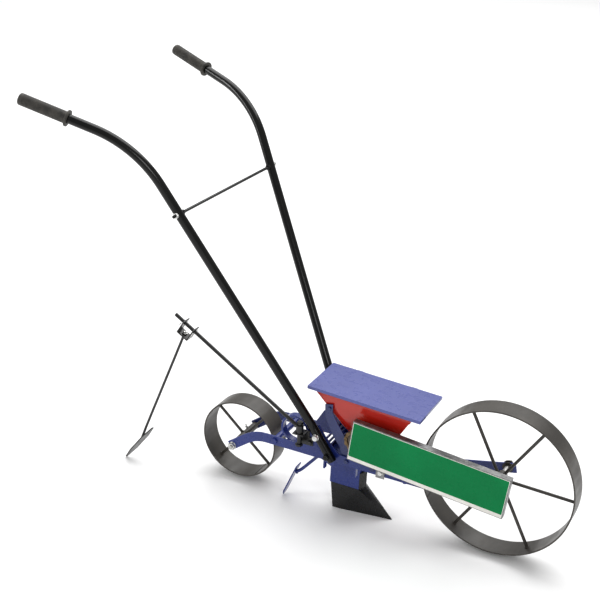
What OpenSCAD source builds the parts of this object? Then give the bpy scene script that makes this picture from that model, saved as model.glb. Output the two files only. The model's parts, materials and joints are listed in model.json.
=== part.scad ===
// Single-row push seeder: two side plates carry a chain-driven front wheel,
// a hopper with a seed roller, a seed boot with a furrow opener, a coverer,
// a rear press wheel, two tube handles and a folding row marker.
// +X is forward, +Y is left, +Z is up. Z = 0 is the sole of the furrow opener.

/* [Wheels] */
// Distance between the two wheel axles
wheel_base = 654.5; // [640:0.5:670]
// Outer diameter of the front drive wheel
front_wheel_d = 360; // [350:1:370]
// Outer diameter of the rear press wheel
rear_wheel_d = 200; // [190:1:205]
// Width of the rolled rim strip
rim_w = 60; // [50:1:70]
// Thickness of the rim strip
rim_t = 3.5; // [3:0.5:4]
// Number of spokes in the front wheel
front_spokes = 6; // [5:1:8]
// Number of spokes in the rear wheel
rear_spokes = 4; // [3:1:6]
// Diameter of a front spoke
front_spoke_d = 7.5; // [6:0.5:9]
// Diameter of a rear spoke
rear_spoke_d = 7; // [5:0.5:8]
// Turn of the front spokes from horizontal
front_spoke_turn = -2; // [-30:1:30]
// Turn of the rear spokes from horizontal
rear_spoke_turn = 49; // [0:1:90]
// Diameter of the turning front axle
front_axle_d = 14; // [12:1:14]
// Diameter of the fixed rear axle
rear_axle_d = 10; // [8:1:12]

/* [Frame] */
// How far the opener's sole lies below the bottoms of the wheels
sole_drop = 13; // [10:1:16]
// Distance from the centre plane to the middle of a side plate
plate_y = 60; // [60:0.5:62]
// Thickness of a side plate
plate_t = 4; // [3:0.5:4]
// Height of the bar part of a side plate
bar_h = 24; // [22:1:26]
// Height of the bar's centre line above the sole
bar_z = 160; // [158:1:162]
// Radius of the two bends in the bar
bar_bend_r = 90; // [60:5:110]
// Outer radius of the hoop between the plates
hoop_r = 36; // [30:1:38]

/* [Drive] */
// Chain pitch
pitch = 12.7; // [12.7]
// Teeth on the drive sprocket
drive_teeth = 16; // [16]
// Teeth on the driven sprocket
driven_teeth = 12; // [12]
// Links in the chain
chain_links = 66; // [66]
// Distance from the centre plane to the chain
chain_y = 70; // [70:0.5:71]
// Slope of the chain guard, front end down
guard_tilt = 5.7; // [4:0.1:7]
// Length of the chain guard
guard_l = 382; // [380:1:386]
// Height of the chain guard
guard_h = 102; // [98:1:106]

/* [Hopper] */
// Length of the lid
lid_l = 282; // [276:1:288]
// Width of the lid
lid_w = 141.4; // [140:0.2:143]
// Depth of the lid's folded rim
lid_rim = 8; // [6:0.5:8]
// Slope of the lid, front end down
lid_tilt = 2.9; // [0:0.1:4]
// Length of the hopper's mouth
hopper_l = 252; // [246:1:256]
// Width of the hopper's mouth
hopper_w = 120; // [116:1:124]
// Wall thickness of the hopper
hopper_t = 2; // [1.5:0.5:2.5]
// Diameter of the seed roller
roller_d = 48; // [46:1:48]
// Width of the seed roller
roller_w = 40; // [36:1:42]

/* [Handles] */
// Outer diameter of the handle tube
tube_d = 21.3; // [20:0.1:22]
// Wall thickness of the handle tube
tube_t = 2.6; // [2:0.1:3]
// Radius of the large bend below the grips
handle_bend_r = 250; // [220:5:280]
// Outer diameter of a grip
grip_d = 27; // [26:0.5:30]
// Length of a grip
grip_l = 116; // [105:1:120]

/* [Marker and coverer] */
// Diameter of the marker arm
marker_arm_d = 9; // [8:0.5:10]
// Diameter of the marker's drop rod
marker_rod_d = 6.5; // [5:0.5:8]
// Diameter of the coverer's rod
coverer_rod_d = 8; // [7:0.5:9]

/* [Hidden] */
$fn = 48;

// Fits and clearances
run = 0.05;
air = 0.3;
through = 400;
weld_in = 1;
seam = 0.02;

// Wheel centres
rear_x = -212;
front_x = rear_x + wheel_base;
rear_z = sole_drop + rear_wheel_d / 2;
front_z = sole_drop + front_wheel_d / 2;

// Frame
plate_in = plate_y - plate_t / 2;
plate_out = plate_y + plate_t / 2;
bar_top = bar_z + bar_h / 2;
bar_pts = [[rear_x - 6, rear_z - 2.5], [rear_x + 61, bar_z], [302, bar_z], [front_x + 19.5, bar_z + 35.5]];
handle_foot = [60, 157];
handle_knee = [3, 236];
handle_bolt_at = [0.28, 0.82];
gusset_pts = [
  [-47, bar_top - 2], [-27, 206], [-12, 216], [2, 236], [16, 234], [34, 208],
  [72, bar_top - 2], [66, 147], [52, 136], [30, 147]
];
spacer_xz = [[-98, bar_z], [240, bar_z - 4]];
spacer_r = 8;
spacer_bolt_d = 8;
tie_rod_xz = [[18, 180], [24, 171]];
tie_rod_d = 6;
hoop_c = [-49, 203];
hoop_t = 5;
hoop_w = 20;

// Hubs, bushes and axles
bush_r = 10;
bush_flange_r = 13;
bush_flange_t = 2;
front_hub_r = 11;
front_hub_w = 44;
rear_hub_r = 9;
rear_hub_w = 112;
washer_t = 1.5;
nipple_dir = [-0.42, 0, 0.907];
nipple_y = 20;
nipple_r = 2.5;

// Chain drive
function pitch_r(teeth) = pitch / (2 * sin(180 / teeth));
drive_r = pitch_r(drive_teeth);
driven_r = pitch_r(driven_teeth);
chain_m = 2 * chain_links - drive_teeth - driven_teeth;
tooth_gap = drive_teeth - driven_teeth;
centre_d = pitch / 8 * (chain_m + sqrt(chain_m * chain_m - 8 / (PI * PI) * tooth_gap * tooth_gap));
shaft_rise = 32;
shaft_x = front_x - sqrt(centre_d * centre_d - shaft_rise * shaft_rise);
shaft_z = front_z + shaft_rise;
shaft_d = 12;
chain_slope = atan2(shaft_rise, front_x - shaft_x);
run_angle = asin((drive_r - driven_r) / centre_d);
contact = 90 + run_angle;
mesh_turn = contact - chain_slope;
tooth_t = 3;
roller_hole_d = 8.3;
plate_gap = 3.4;
link_t = 2.4;
link_h = 8.4;
boss_r = 12;

// Guard
guard_c = [293.3, 211];
guard_y = 80;
guard_t = 1.5;
guard_depth = 17.4;
lug_bolt = [[178, 157], [300, 166.3]];
lug_bolt_r = [3, 2.5];
lug_bolt_af = [10, 8];
lug_top = 172;
lug_w = 22;

// Hopper and lid
lid_c = [124.85, 0, 328.05];
lid_t = 1.5;
hopper_off = -5.85;
throat_z = 240;
throat_x = [73, 199];
throat_w = 88;
floor_z = 206;
floor_x = [88, 142];
floor_w = 52;
flange_t = 2.5;
hinge_y = 75.2;
hinge_z = -6;
knuckle_r = 3.5;
hinge_pin_d = 4;
hinge_x = [-70, 70];
knuckle_l = 16;
brush_z = 244;
brush_t = 6;
brush_w = 36;
brush_x = [84, 92];
brush_bottom = 239;
mouth_rear = lid_c.x + (hopper_off - hopper_l / 2) * cos(lid_tilt);
mouth_rear_z = lid_c.z + (hopper_l / 2 - hopper_off) * sin(lid_tilt) - lid_t - air;
slab_t = 0.1;

// Hopper brackets, which stand inside the side plates
bracket_t = 3;
ear_bolt = [[38, 284]];
bracket_bolt = [[91, 160], [157, 160]];
front_ear_x = [151, 171];
ear_y = 44.9;
rear_bracket_pts = [
  [26, 292], [28, 259], [47, 221], [70, 190], [78, 149], [104, 149],
  [96, 192], [78, 226], [58, 254], [46, 276], [46, 296]
];
front_bracket_pts = [[147, 149], [167, 149], [181, 232], [171, 244], [151, 244], [160, 232]];

// Housing, boot and opener
housing_x = [80, 150];
housing_w = 70;
housing_z = 188;
housing_bolt_d = 5;
housing_bolt_x = [housing_x[0] + 4.5, housing_x[1] - 5];
housing_bolt_y = [-29.5, 29.5];
boot_pts = [[35, 68], [111, 68], [111, 186], [50, 186], [35, 160]];
boot_w = 42;
boot_t = 2.5;
strap_t = 4;
opener_h = 68;
opener_tip = 194;
nose_x = 121;
opener_t = 4;
nose_h = 43;

// Coverer
coverer_pivot = [20, 152];
coverer_end = [-41, 79];
coverer_y = -32;
coverer_eye_r = 8;
coverer_pin_d = 8;
blade_top = [-43, 95];
blade_tip = [-79, 3];
blade_w = 26;
blade_t = 3;

// Handle route: foot, knee, start of the grip and end of the grip
handle_y = plate_out + tube_d / 2 + air;
foot3 = [handle_foot.x, handle_y, handle_foot.y];
knee3 = [handle_knee.x, handle_y, handle_knee.y];
elbow3 = [-361.9, 254.9, 889.6];
end3 = [-618.8, 316.1, 966.4];
knee_r = 70;
cross_at = 0.775;
cross_rod_d = 7;
cross_nut_af = 12;
cross_nut_h = 4;
knee_in = unit(knee3 - foot3);
knee_out = unit(elbow3 - knee3);
elbow_out = unit(end3 - elbow3);
cross_p = knee3 + (elbow3 - knee3) * cross_at;
grip_t = (grip_d - tube_d) / 2;
flange_w = 5;

// Marker
marker_foot = [-24, -82];
marker_z = 214;
sleeve_h = 20;
sleeve_r = 9;
pivot_d = 10;
marker_y = marker_foot.y;
arm_tip = [-366, 435];
clamp_at_x = -327;
arm_foot = [marker_foot.x, marker_z + 11];
clamp_l = 34;
clamp_w = 26;
clamp_drop = 28;
clamp_t = 3;
rod_end = [-462, 70];
leaf_top = [-429, 108];
leaf_tip = [-508, 2];
leaf_w = 26;
leaf_t = 3;
leaf_turn = 15;
cotter_d = 2.5;
marker_bolt = [[-30, 184], [-4, 184]];
arm_dir = unit([arm_tip.x - arm_foot.x, 0, arm_tip.y - arm_foot.y]);
clamp_down = [-arm_dir.z, 0, arm_dir.x];
clamp_c = [clamp_at_x, marker_y, arm_foot.y + (clamp_at_x - arm_foot.x) * arm_dir.z / arm_dir.x];
cotter_s = clamp_l / 2 + cotter_d / 2 + 1;
base_c = clamp_c + clamp_down * (clamp_drop + 1);
rod_dir = unit([rod_end.x - base_c.x, 0, rod_end.y - base_c.z]);

// ---- Shared functions and shapes ----

function unit(v) = v / norm(v);
function left_of(v) = [-v.y, v.x];
function turned(v, a) = [v.x * cos(a) - v.y * sin(a), v.x * sin(a) + v.y * cos(a)];
function back_to_front(list) = [for (i = [len(list) - 1 : -1 : 0]) list[i]];
function cross_z(a, b) = a.x * b.y - a.y * b.x;

// Points round a bend at vertex b, shifted sideways by off
function bend_pts(a, b, c, r, off, steps = 6) =
  let (d1 = unit(b - a), d2 = unit(c - b), turn = asin(cross_z(d1, d2)), s = sign(turn))
  let (t = r * tan(abs(turn) / 2), n = left_of(d1), centre = b - d1 * t + s * n * r)
  [for (i = [0 : steps]) let (m = turned(n, turn * i / steps)) centre + m * (off - s * r)];

function bar_edge(off) = concat(
  [bar_pts[0] + off * left_of(unit(bar_pts[1] - bar_pts[0]))],
  bend_pts(bar_pts[0], bar_pts[1], bar_pts[2], bar_bend_r, off),
  bend_pts(bar_pts[1], bar_pts[2], bar_pts[3], bar_bend_r, off),
  [bar_pts[3] + off * left_of(unit(bar_pts[3] - bar_pts[2]))]
);

// Inner face of the hopper's sloping rear wall at height z
function rear_wall_x(z) =
  throat_x[0] + hopper_t + (mouth_rear - throat_x[0]) * (z - throat_z) / (mouth_rear_z - throat_z);

// Angles for rotate() that take local X to ex and local Z to ez
function frame_angles(ex, ez) =
  let (ey = cross(ez, ex))
  [atan2(ey.z, ez.z), -asin(ex.z), atan2(ex.y, ex.x)];

// Extrudes a shape drawn in X and Z, centred on y
module on_y(y, t) {
  translate([0, y + t / 2, 0]) rotate([90, 0, 0]) linear_extrude(t) children();
}

// Round bar along Y between y0 and y1
module bar_y(x, z, r, y0, y1) {
  translate([x, y0, z]) rotate([-90, 0, 0]) cylinder(h = y1 - y0, r = r);
}

module tube_y(x, z, r, bore, y0, y1) {
  difference() {
    bar_y(x, z, r, y0, y1);
    bar_y(x, z, bore, y0 - 1, y1 + 1);
  }
}

// Hexagonal nut or bolt head along Y, across-flats size af
module hex_y(x, z, af, y0, y1) {
  translate([x, y0, z]) rotate([-90, 0, 0]) cylinder(h = y1 - y0, r = af / sqrt(3), $fn = 6);
}

// Round bar from point p along direction d
module bar_along(p, d, l, r) {
  translate(p) rotate([0, acos(d.z / norm(d)), atan2(d.y, d.x)]) cylinder(h = l, r = r);
}

module wheel_at(x, z) { translate([x, 0, z]) rotate([90, 0, 0]) children(); }

module ring(r_out, r_in, w) {
  rotate_extrude($fn = 96) translate([r_in, -w / 2]) square([r_out - r_in, w]);
}

// ---- Frame ----

module plate_outline() {
  polygon(concat(bar_edge(bar_h / 2), back_to_front(bar_edge(-bar_h / 2))));
  polygon(gusset_pts);
  hull() {
    translate([shaft_x - 20, bar_z]) square([40, 1]);
    translate([shaft_x, shaft_z]) circle(r = 17);
  }
}

function handle_hole(i) = handle_knee + (handle_foot - handle_knee) * handle_bolt_at[i];

module side_plate(side) {
  y = side * plate_y;
  difference() {
    on_y(y, plate_t) plate_outline();
    bar_y(front_x, front_z, bush_r, y - plate_t, y + plate_t);
    bar_y(shaft_x, shaft_z, bush_r, y - plate_t, y + plate_t);
    bar_y(rear_x, rear_z, rear_axle_d / 2 + run, y - plate_t, y + plate_t);
    for (p = spacer_xz) bar_y(p.x, p.y, spacer_bolt_d / 2 + air, y - plate_t, y + plate_t);
    for (p = tie_rod_xz) bar_y(p.x, p.y, tie_rod_d / 2 + air, y - plate_t, y + plate_t);
    for (i = [0, 1]) bar_y(handle_hole(i).x, handle_hole(i).y, 4 + air, y - plate_t, y + plate_t);
    if (side < 0) for (p = lug_bolt) bar_y(p.x, p.y, 3 + air, y - plate_t, y + plate_t);
    if (side < 0) for (p = marker_bolt) bar_y(p.x, p.y, 3 + air, y - plate_t, y + plate_t);
    for (p = bracket_bolt) bar_y(p.x, p.y, 3 + air, y - plate_t, y + plate_t);
  }
}

module right_side_plate() { color("#2b3a80") side_plate(-1); }
module left_side_plate() { color("#2b3a80") side_plate(1); }

module frame_spacers() {
  color("#2b3a80") for (p = spacer_xz)
    tube_y(p.x, p.y, spacer_r, spacer_bolt_d / 2 + air, -plate_in, plate_in);
}

module frame_bolts() {
  head = 5.3;
  color("#2b3a80") for (p = spacer_xz) {
    bar_y(p.x, p.y, spacer_bolt_d / 2, -plate_out, plate_out + 9);
    hex_y(p.x, p.y, 13, -plate_out - head, -plate_out);
    difference() {
      hex_y(p.x, p.y, 13, plate_out, plate_out + 6.5);
      bar_y(p.x, p.y, spacer_bolt_d / 2, plate_out - 1, plate_out + 8);
    }
  }
}

module tie_rods() {
  color("#1f2a5c") for (p = tie_rod_xz) bar_y(p.x, p.y, tie_rod_d / 2, -plate_out, plate_out);
}

module frame_hoop() {
  color("#2b3a80") translate([hoop_c.x, -plate_in + hoop_w / 2, hoop_c.y]) rotate([90, 0, 0])
    ring(hoop_r, hoop_r - hoop_t, hoop_w);
}

// ---- Front wheel ----

module wheel_rim(d, w) { ring(d / 2, d / 2 - rim_t, w); }

// Spokes welded into the hub and the rim, bedded by weld_in
module wheel_spokes(count, turn, spoke_d, hub_r, rim_r) {
  for (i = [0 : count - 1]) rotate([0, 90, turn + i * 360 / count])
    translate([0, 0, hub_r - weld_in]) cylinder(h = rim_r - hub_r + 1.3 * weld_in, r = spoke_d / 2);
}

module front_rim() { color("#3b3a38") wheel_at(front_x, front_z) wheel_rim(front_wheel_d, rim_w); }

module front_spokes() {
  color("#3b3a38") wheel_at(front_x, front_z)
    wheel_spokes(front_spokes, front_spoke_turn, front_spoke_d, front_hub_r, front_wheel_d / 2 - rim_t);
}

module front_hub() {
  color("#3b3a38") tube_y(front_x, front_z, front_hub_r, front_axle_d / 2, -front_hub_w / 2, front_hub_w / 2);
}

module front_axle() {
  color("#8c8c88") bar_y(front_x, front_z, front_axle_d / 2, -guard_y + 4, plate_out + 14);
}

module front_axle_nuts() {
  near_nut = -chain_y - tooth_t / 2;
  far_nut = plate_out + bush_flange_t + air;
  color("#b9b9b4") {
    difference() {
      hex_y(front_x, front_z, 22, near_nut - 3.5, near_nut);
      bar_y(front_x, front_z, front_axle_d / 2, near_nut - 9, near_nut + 1);
    }
    difference() {
      union() {
        bar_y(front_x, front_z, 14, far_nut, far_nut + washer_t);
        hex_y(front_x, front_z, 22, far_nut + washer_t, far_nut + 8);
      }
      bar_y(front_x, front_z, front_axle_d / 2, far_nut - 1, far_nut + 9);
    }
  }
}

module bush(x, z, side, bore) {
  inner = plate_in - bush_flange_t;
  outer = plate_out + bush_flange_t;
  mirror([0, side < 0 ? 1 : 0, 0]) difference() {
    union() {
      bar_y(x, z, bush_r, inner, outer);
      bar_y(x, z, bush_flange_r, inner, plate_in);
    }
    bar_y(x, z, bore, inner - 1, outer + 1);
  }
}

module front_bushes() {
  color("#a98d4c") for (side = [-1, 1]) bush(front_x, front_z, side, front_axle_d / 2 + run);
}

// ---- Rear wheel ----

module rear_rim() { color("#3b3a38") wheel_at(rear_x, rear_z) wheel_rim(rear_wheel_d, rim_w); }

module rear_spokes() {
  color("#3b3a38") wheel_at(rear_x, rear_z)
    wheel_spokes(rear_spokes, rear_spoke_turn, rear_spoke_d, rear_hub_r, rear_wheel_d / 2 - rim_t);
}

module rear_hub() {
  color("#3b3a38") difference() {
    bar_y(rear_x, rear_z, rear_hub_r, -rear_hub_w / 2, rear_hub_w / 2);
    bar_y(rear_x, rear_z, rear_axle_d / 2 + run, -rear_hub_w, rear_hub_w);
    bar_along([rear_x, nipple_y, rear_z], nipple_dir, 2 * rear_hub_r, nipple_r);
  }
}

module rear_hub_nipple() {
  start = [rear_x, nipple_y, rear_z] + nipple_dir * (rear_axle_d / 2 + 1);
  color("#c9c9c6") {
    bar_along(start, nipple_dir, 6, nipple_r);
    bar_along(start + nipple_dir * 6, nipple_dir, 3, 4);
    bar_along(start + nipple_dir * 9, nipple_dir, 5, 2.2);
  }
}

module rear_axle() {
  color("#9a9a96") bar_y(rear_x, rear_z, rear_axle_d / 2, -plate_out - 12, plate_out + 12);
}

module rear_axle_nuts() {
  color("#c9c9c6") for (side = [0, 1]) mirror([0, side, 0]) difference() {
    union() {
      bar_y(rear_x, rear_z, 10, plate_out, plate_out + washer_t);
      hex_y(rear_x, rear_z, 17, plate_out + washer_t, plate_out + 9);
    }
    bar_y(rear_x, rear_z, rear_axle_d / 2, plate_out - 1, plate_out + 10);
  }
}

// ---- Chain drive ----

module sprocket(teeth) {
  r = pitch_r(teeth);
  linear_extrude(tooth_t, center = true) difference() {
    circle(r = r + 3.4, $fn = 64);
    for (i = [0 : teeth - 1]) rotate(i * 360 / teeth) translate([r, 0]) circle(d = roller_hole_d, $fn = 24);
  }
}

module drive_sprocket() {
  color("#55504a") difference() {
    union() {
      translate([front_x, -chain_y, front_z]) rotate([90, 0, 0]) rotate(mesh_turn) sprocket(drive_teeth);
      bar_y(front_x, front_z, boss_r, -chain_y, -plate_out - bush_flange_t - air);
    }
    bar_y(front_x, front_z, front_axle_d / 2, -guard_y, 0);
  }
}

module driven_sprocket() {
  color("#55504a") difference() {
    union() {
      translate([shaft_x, -chain_y, shaft_z]) rotate([90, 0, 0]) rotate(mesh_turn) sprocket(driven_teeth);
      bar_y(shaft_x, shaft_z, boss_r, -chain_y, -plate_out - bush_flange_t - air);
    }
    bar_y(shaft_x, shaft_z, shaft_d / 2, -guard_y, 0);
  }
}

function arc_pts(c, r, from, to, steps) =
  [for (i = [0 : steps]) let (a = from + (to - from) * i / steps) c + r * [cos(a), sin(a)]];

// Outline round both sprockets, grown by g, with the drive sprocket's centre at the origin
function belt_pts(g) = concat(
  arc_pts([0, 0], drive_r + g, -contact, contact, 28),
  arc_pts([-centre_d, 0], driven_r + g, contact, 360 - contact, 20)
);

module drive_chain() {
  color("#6b5a48") for (s = [-1, 1])
    translate([front_x, 0, front_z]) on_y(-chain_y + s * (plate_gap + link_t) / 2, link_t)
      rotate(-chain_slope) difference() {
        polygon(belt_pts(link_h / 2));
        polygon(belt_pts(-link_h / 2));
      }
}

module metering_shaft() {
  color("#9a9a96") bar_y(shaft_x, shaft_z, shaft_d / 2, -guard_y + 5, plate_out + 12);
}

module shaft_bushes() {
  color("#a98d4c") for (side = [-1, 1]) bush(shaft_x, shaft_z, side, shaft_d / 2 + run);
}

module shaft_collars() {
  color("#8c8c88") {
    tube_y(shaft_x, shaft_z, 11, shaft_d / 2, plate_out + bush_flange_t + air, plate_out + 11);
    tube_y(shaft_x, shaft_z, 11, shaft_d / 2, 46, plate_in - bush_flange_t - air);
  }
}

module seed_roller() {
  pockets = 12;
  pocket_r = 3.5;
  color("#d8d4c8") difference() {
    bar_y(shaft_x, shaft_z, roller_d / 2, -roller_w / 2, roller_w / 2);
    bar_y(shaft_x, shaft_z, shaft_d / 2, -roller_w, roller_w);
    for (i = [0 : pockets - 1]) translate([shaft_x, 0, shaft_z]) rotate([0, i * 360 / pockets, 0])
      translate([0, 0, roller_d / 2 - 3]) cylinder(h = 6, r = pocket_r, $fn = 24);
  }
}

// Bar across the sloping rear wall of the hopper, with the bristle block under its front edge
module roller_brush() {
  color("#3a3128") {
    on_y(0, brush_w) polygon([
      [rear_wall_x(brush_z) + seam, brush_z], [brush_x[1], brush_z],
      [brush_x[1], brush_z + brush_t], [rear_wall_x(brush_z + brush_t) + seam, brush_z + brush_t]
    ]);
    translate([brush_x[0], 1 - brush_w / 2, brush_bottom])
      cube([brush_x[1] - brush_x[0], brush_w - 2, brush_z - brush_bottom]);
  }
}

module metering_housing() {
  w = housing_w;
  color("#8f9296") difference() {
    translate([housing_x[0], -w / 2, housing_z]) cube([housing_x[1] - housing_x[0], w, floor_z - housing_z]);
    bar_y(shaft_x, shaft_z, roller_d / 2 + 0.8, -roller_w / 2 - 1.5, roller_w / 2 + 1.5);
    translate([91, -roller_w / 2 - 1.5, housing_z - 1]) cube([14, roller_w + 3, 30]);
    for (x = housing_bolt_x, y = housing_bolt_y)
      translate([x, y, housing_z - 1]) cylinder(h = 30, r = housing_bolt_d / 2 + air);
  }
}

module housing_bolts() {
  color("#c9c9c6") for (x = housing_bolt_x, y = housing_bolt_y) {
    translate([x, y, housing_z - 2]) cylinder(h = floor_z + flange_t + 4 - housing_z, r = housing_bolt_d / 2);
    translate([x, y, housing_z - 3.5]) cylinder(h = 3.5, r = 4.6, $fn = 6);
  }
}

// ---- Guard ----

module in_guard() { translate([guard_c.x, -guard_y, guard_c.y]) rotate([0, guard_tilt, 0]) children(); }

module chain_guard() {
  color("#8d9092") difference() {
    union() {
      in_guard() {
        translate([-guard_l / 2, 0, -guard_h / 2]) cube([guard_l, guard_t, guard_h]);
        translate([-guard_l / 2, 0, guard_h / 2 - guard_t]) cube([guard_l, guard_depth, guard_t]);
        translate([-guard_l / 2, 0, -guard_h / 2]) cube([guard_l, guard_depth, guard_t]);
        translate([guard_l / 2 - guard_t, 0, -guard_h / 2]) cube([guard_t, guard_depth, guard_h]);
      }
      for (p = lug_bolt)
        translate([p.x - lug_w / 2, -plate_out - air - guard_t, p.y - (p == lug_bolt[0] ? 14 : 8)])
          cube([lug_w, guard_t, lug_top - p.y + (p == lug_bolt[0] ? 14 : 8)]);
    }
    for (p = lug_bolt) bar_y(p.x, p.y, 3 + air, -guard_y + 2, -plate_in);
  }
}

module guard_panel() {
  margin = 2;
  color("#007a46") in_guard()
    translate([-guard_l / 2 + margin, -1.1, -guard_h / 2 + margin])
      cube([guard_l - 2 * margin, 1, guard_h - 2 * margin]);
}

module guard_bolts() {
  lug_out = -plate_out - air - guard_t;
  color("#d0d0cc") for (i = [0, 1]) {
    p = lug_bolt[i];
    bar_y(p.x, p.y, lug_bolt_r[i], lug_out, -plate_in + 8);
    hex_y(p.x, p.y, lug_bolt_af[i], lug_out - 4, lug_out);
    difference() {
      hex_y(p.x, p.y, lug_bolt_af[i], -plate_in, -plate_in + 5);
      bar_y(p.x, p.y, lug_bolt_r[i], -plate_in - 1, -plate_in + 6);
    }
  }
}

// ---- Hopper ----

module in_lid() { translate(lid_c) rotate([0, lid_tilt, 0]) children(); }

module mouth_slab(inset, rise) {
  in_lid() translate([-hopper_l / 2 + hopper_off + inset, -hopper_w / 2 + inset, -lid_t - air - slab_t])
    cube([hopper_l - 2 * inset, hopper_w - 2 * inset, slab_t + rise]);
}

module level_slab(x, w, z, inset) {
  translate([x[0] + inset, -w / 2 + inset, z]) cube([x[1] - x[0] - 2 * inset, w - 2 * inset, slab_t]);
}

module hopper() {
  color("#b8452f") difference() {
    union() {
      hull() {
        mouth_slab(0, 0);
        level_slab(throat_x, throat_w, throat_z, 0);
      }
      hull() {
        level_slab(throat_x, throat_w, throat_z, 0);
        level_slab(floor_x, floor_w, floor_z, 0);
      }
      translate([housing_x[0], -housing_w / 2, floor_z])
        cube([housing_x[1] - housing_x[0], housing_w, flange_t]);
    }
    hull() {
      mouth_slab(hopper_t, 0.2);
      level_slab(throat_x, throat_w, throat_z, hopper_t);
    }
    hull() {
      level_slab(throat_x, throat_w, throat_z, hopper_t);
      level_slab(floor_x, floor_w, floor_z - 2 * slab_t, hopper_t);
    }
    bar_y(shaft_x, shaft_z, shaft_d / 2 + 1, -60, 60);
    for (x = housing_bolt_x, y = housing_bolt_y)
      translate([x, y, floor_z - 1]) cylinder(h = 6, r = housing_bolt_d / 2 + air);
    for (p = ear_bolt) bar_y(p.x, p.y, 2.5 + air, -70, 70);
  }
}

module rear_hopper_brackets() {
  color("#20295e") for (side = [-1, 1]) difference() {
    on_y(side * (plate_in - bracket_t / 2), bracket_t) polygon(rear_bracket_pts);
    bar_y(bracket_bolt[0].x, bracket_bolt[0].y, 3 + air, -through / 2, through / 2);
    bar_y(ear_bolt[0].x, ear_bolt[0].y, 2.5 + air, -through / 2, through / 2);
  }
}

module front_hopper_brackets() {
  color("#20295e") for (side = [-1, 1]) difference() {
    union() {
      on_y(side * (plate_in - bracket_t / 2), bracket_t) polygon(front_bracket_pts);
      translate([front_ear_x[0], side > 0 ? ear_y : -plate_in, 244 - bracket_t])
        cube([front_ear_x[1] - front_ear_x[0], plate_in - ear_y, bracket_t]);
    }
    bar_y(bracket_bolt[1].x, bracket_bolt[1].y, 3 + air, -through / 2, through / 2);
  }
}

module hopper_bolts() {
  color("#c9c9c6") for (side = [0, 1]) mirror([0, side, 0]) {
    for (p = ear_bolt) {
      bar_y(p.x, p.y, 2.5, 44, plate_in);
      hex_y(p.x, p.y, 8, plate_in, plate_in + 3.5);
    }
    for (p = bracket_bolt) {
      bar_y(p.x, p.y, 3, plate_in - 9, plate_out);
      hex_y(p.x, p.y, 10, plate_out, plate_out + 4);
    }
  }
}

// ---- Lid ----

module hopper_lid() {
  color("#5b62a6") in_lid() difference() {
    translate([-lid_l / 2, -lid_w / 2, -lid_rim]) cube([lid_l, lid_w, lid_rim]);
    translate([-lid_l / 2 + lid_t, -lid_w / 2 + lid_t, -lid_rim - 1])
      cube([lid_l - 2 * lid_t, lid_w - 2 * lid_t, lid_rim + 1 - lid_t]);
  }
}

module along_x(l) { rotate([0, 90, 0]) translate([0, 0, -l / 2]) children(); }

module lid_knuckles() {
  color("#5b62a6") in_lid() for (x = hinge_x) translate([x, hinge_y, hinge_z]) difference() {
    union() {
      along_x(knuckle_l) cylinder(h = knuckle_l, r = knuckle_r);
      translate([-knuckle_l / 2, lid_w / 2 - hinge_y, -1]) cube([knuckle_l, hinge_y - lid_w / 2 - 1, 2]);
    }
    along_x(knuckle_l + 4) cylinder(h = knuckle_l + 4, r = hinge_pin_d / 2 + run);
  }
}

module hopper_hinges() {
  leaf_y = hopper_w / 2 - 1.2;
  color("#9a9a96") in_lid() for (x = hinge_x, s = [-1, 1])
    translate([x + s * (knuckle_l + 0.5), hinge_y, hinge_z]) difference() {
      union() {
        along_x(knuckle_l) cylinder(h = knuckle_l, r = knuckle_r);
        translate([-knuckle_l / 2, leaf_y - hinge_y, -knuckle_r - 1.5])
          cube([knuckle_l, hinge_y - leaf_y + 1, 2]);
      }
      along_x(knuckle_l + 4) cylinder(h = knuckle_l + 4, r = hinge_pin_d / 2);
    }
}

module hinge_pins() {
  pin_l = 3 * knuckle_l + 5;
  color("#c9c9c6") in_lid() for (x = hinge_x)
    translate([x, hinge_y, hinge_z]) along_x(pin_l) cylinder(h = pin_l, r = hinge_pin_d / 2);
}

// ---- Boot, opener and coverer ----

module seed_boot() {
  color("#2b3a80") difference() {
    on_y(0, boot_w) polygon(boot_pts);
    on_y(0, boot_w - 2 * boot_t) polygon([
      [35 + boot_t, 60], [111 - boot_t, 60], [111 - boot_t, 190],
      [50 + boot_t, 190], [50 + boot_t, 186], [35 + boot_t, 160 - 1]
    ]);
  }
}

module boot_straps() {
  color("#2b3a80") for (x = [35 - strap_t, 111])
    translate([x, -plate_in, 122]) difference() {
      cube([strap_t, 2 * plate_in, 50]);
      translate([-1, 12, -1]) cube([strap_t + 2, 2 * plate_in - 24, 21]);
    }
}

function opener_plan(w, x0, x1, tip) = [[x0, w], [x1, w], [tip, 1], [tip, -1], [x1, -w], [x0, -w]];

module plan_slab(w, x0, x1, tip, z) {
  translate([0, 0, z]) linear_extrude(slab_t) polygon(opener_plan(w, x0, x1, tip));
}

module furrow_opener() {
  half = boot_w / 2;
  color("#17171a") {
    difference() {
      hull() {
        plan_slab(half - 1, 46, 62, opener_tip, 0);
        plan_slab(half, 38, 111, nose_x, opener_h - slab_t);
      }
      hull() {
        plan_slab(half - 1 - opener_t, 30, 60, opener_tip - 36, -2 * slab_t);
        plan_slab(half - opener_t, 30, 108, nose_x - 10, opener_h + slab_t);
      }
    }
    translate([boot_pts[1].x, 0, opener_h]) linear_extrude(nose_h)
      polygon([[0, half], [nose_x - boot_pts[1].x, 0], [0, -half]]);
  }
}

module coverer_pin() {
  color("#9a9a96") {
    bar_y(coverer_pivot.x, coverer_pivot.y, coverer_pin_d / 2, -plate_in, coverer_y + 13);
    bar_y(coverer_pivot.x, coverer_pivot.y, 7, coverer_y + 9, coverer_y + 12);
  }
}

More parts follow.
